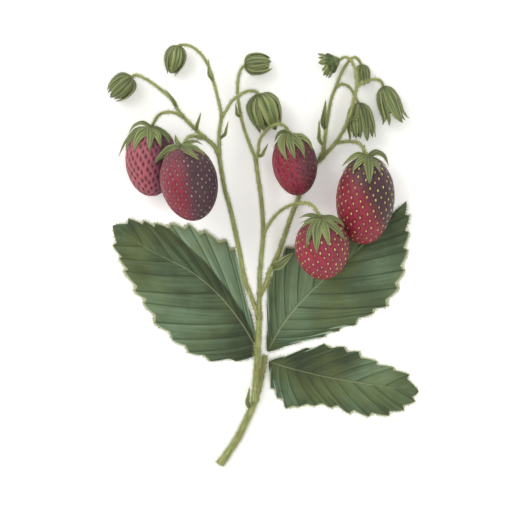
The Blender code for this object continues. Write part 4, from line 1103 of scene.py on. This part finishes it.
def hair_nodes(density, length, lean, seed):
    """Stands a thin three-sided needle on each of the scattered places, each turned a little its own way."""
    tree = bpy.data.node_groups.new("hairs", "GeometryNodeTree")
    tree.interface.new_socket("Geometry", in_out="INPUT", socket_type="NodeSocketGeometry")
    tree.interface.new_socket("Geometry", in_out="OUTPUT", socket_type="NodeSocketGeometry")
    source = put(tree, "NodeGroupInput")
    spread = put(tree, "GeometryNodeDistributePointsOnFaces", {"Mesh": source.outputs["Geometry"],
                 "Density": density, "Seed": seed})
    needle = put(tree, "GeometryNodeMeshCone", {"Vertices": 3, "Radius Top": 0.0, "Radius Bottom": HAIR_BASE,
                 "Depth": length}, fill_type="NGON")
    tilt = put(tree, "FunctionNodeRandomValue", {0: (-lean, -lean, -3.1), 1: (lean, lean, 3.1), "Seed": seed + 1},
               data_type="FLOAT_VECTOR")
    turned = put(tree, "FunctionNodeRotateRotation", {"Rotation": spread.outputs["Rotation"],
                 "Rotate By": put(tree, "FunctionNodeEulerToRotation", {"Euler": tilt.outputs[0]}).outputs["Rotation"]},
                 rotation_space="LOCAL")
    grown = put(tree, "FunctionNodeRandomValue", {2: 0.55, 3: 1.3, "Seed": seed + 2}, data_type="FLOAT")
    stood = put(tree, "GeometryNodeInstanceOnPoints", {"Points": spread.outputs["Points"],
                "Instance": needle.outputs["Mesh"], "Rotation": turned.outputs["Rotation"],
                "Scale": grown.outputs[1]})
    real = put(tree, "GeometryNodeRealizeInstances", {"Geometry": stood.outputs["Instances"]})
    put(tree, "NodeGroupOutput", {"Geometry": real.outputs["Geometry"]})
    return tree


def hair_coat(name, pieces, slot, wanted, density, length, lean, seed):
    """A coat of hairs over the wanted faces of some finished pieces, kept inside the sprig's own box."""
    skin = bmesh.new()
    for piece in pieces:
        skin.from_mesh(piece.data)
    vein = skin.verts.layers.float_vector.get("vein")
    rib = skin.verts.layers.float_vector.get("rib")
    bald = [face for face in skin.faces if not wanted(face, vein, rib)]
    bmesh.ops.delete(skin, geom=bald, context="FACES")
    mesh = bpy.data.meshes.new("hair_host")
    skin.to_mesh(mesh)
    skin.free()
    host = bpy.data.objects.new("hair_host", mesh)
    bpy.context.scene.collection.objects.link(host)
    modifier = host.modifiers.new("hairs", "NODES")
    modifier.node_group = hair_nodes(density, length, lean, seed)
    graph = bpy.context.evaluated_depsgraph_get()
    coat = bmesh.new()
    grown = bpy.data.meshes.new_from_object(host.evaluated_get(graph))
    coat.from_mesh(grown)
    bpy.data.objects.remove(host)
    bpy.data.meshes.remove(mesh)
    bpy.data.meshes.remove(grown)
    low, high = cad_box
    for vert in coat.verts:
        vert.co = Vector(max(least, min(most, part)) for least, part, most in zip(low, vert.co, high))
        vert.co.z = max(vert.co.z, 0.02 * MM)
    return add_piece(name, coat, slot, [HAIR])


def everywhere(face, vein, rib):
    """All of a stalk."""
    return True


def sepal_edge(face, vein, rib):
    """The two edges of each sepal."""
    return all(abs(vert[rib][0]) > 0.6 for vert in face.verts) and face.normal.z > -0.4


def leaf_edge(face, vein, rib):
    """The rim of each leaflet."""
    return all(abs(vert[vein][0]) > 0.999 for vert in face.verts)


HAIR = hair_glass()
PER_SQUARE_MM = 1e6
calyces = [piece for piece in bpy.data.objects if piece.name.startswith("calyx_") and "_sepals" in piece.name]
buds = [piece for piece in bpy.data.objects if piece.name.startswith("bud_") and "_sepals" in piece.name]
bracts = [piece for piece in bpy.data.objects if piece.name.startswith(("bract_", "stipule")) and "_blade" in piece.name]
hair_coat("stalk_hairs", stalks, "stem_green", everywhere, 6.0 * PER_SQUARE_MM, 1.5 * MM, 0.5, 1)
hair_coat("calyx_hairs", calyces + bracts, "sepal_green", sepal_edge, 4.0 * PER_SQUARE_MM, 1.0 * MM, 0.7, 4)
hair_coat("bud_hairs", buds, "bud_green", sepal_edge, 4.0 * PER_SQUARE_MM, 1.1 * MM, 0.7, 7)
hair_coat("leaf_hairs", leaflets, "leaf_green", leaf_edge, 15.0 * PER_SQUARE_MM, 1.6 * MM, 0.6, 10)

# ======================================================================== the table and the light
# A plain near-white sheet under the sprig, a broad soft lamp from the upper left and a pale room. The
# camera hangs straight above it on a long lens.
paper, paper_tree, paper_shader = surface("white paper sheet")
fibre = put(paper_tree, "ShaderNodeTexNoise", {"Scale": 700.0, "Detail": 3.0,
            "Vector": put(paper_tree, "ShaderNodeTexCoord").outputs["Object"]})
tint = put(paper_tree, "ShaderNodeValToRGB", {"Fac": fibre.outputs["Fac"]}, stops=[(0.3, "#fbfbf9"), (0.7, "#ffffff")])
paper_tree.links.new(tint.outputs["Color"], paper_shader.inputs["Base Color"])
paper_shader.inputs["Roughness"].default_value = 0.9
paper_shader.inputs["Emission Color"].default_value = linear("#ffffff")
paper_shader.inputs["Emission Strength"].default_value = 0.16
bpy.ops.mesh.primitive_plane_add(size=4.0, location=(0, 0, 0))
floor = bpy.context.active_object
floor.name = "paper_sheet"
floor.data.materials.append(paper)

world = bpy.data.worlds.new("pale room")
world.use_nodes = True
room = world.node_tree.nodes["Background"]
room.inputs["Color"].default_value = linear("#fbfaf6")
room.inputs["Strength"].default_value = 0.88
bpy.context.scene.world = world


def lamp(name, place, aim, size, power):
    """A square soft lamp turned towards its aim."""
    light = bpy.data.lights.new(name, "AREA")
    light.size = size
    light.energy = power
    hung = bpy.data.objects.new(name, light)
    hung.location = place
    hung.rotation_euler = (Vector(aim) - Vector(place)).to_track_quat("-Z", "Y").to_euler()
    bpy.context.scene.collection.objects.link(hung)


lamp("key", (-0.9, 0.75, 1.25), (0, 0, 0), 0.9, 10.0)
lamp("fill", (1.1, -0.6, 1.4), (0, 0, 0), 1.3, 5.5)

EYE_HEIGHT = 1.8
FIELD = 256 * MM
eye = bpy.data.cameras.new("straight down")
eye.sensor_width = 36.0
eye.lens = eye.sensor_width * (EYE_HEIGHT - 10 * MM) / FIELD
eye.clip_end = 10.0
camera = bpy.data.objects.new("straight down", eye)
camera.location = (-3.75 * MM, -0.5 * MM, EYE_HEIGHT)
bpy.context.scene.collection.objects.link(camera)
bpy.context.scene.camera = camera
bpy.context.scene.view_settings.view_transform = "Standard"
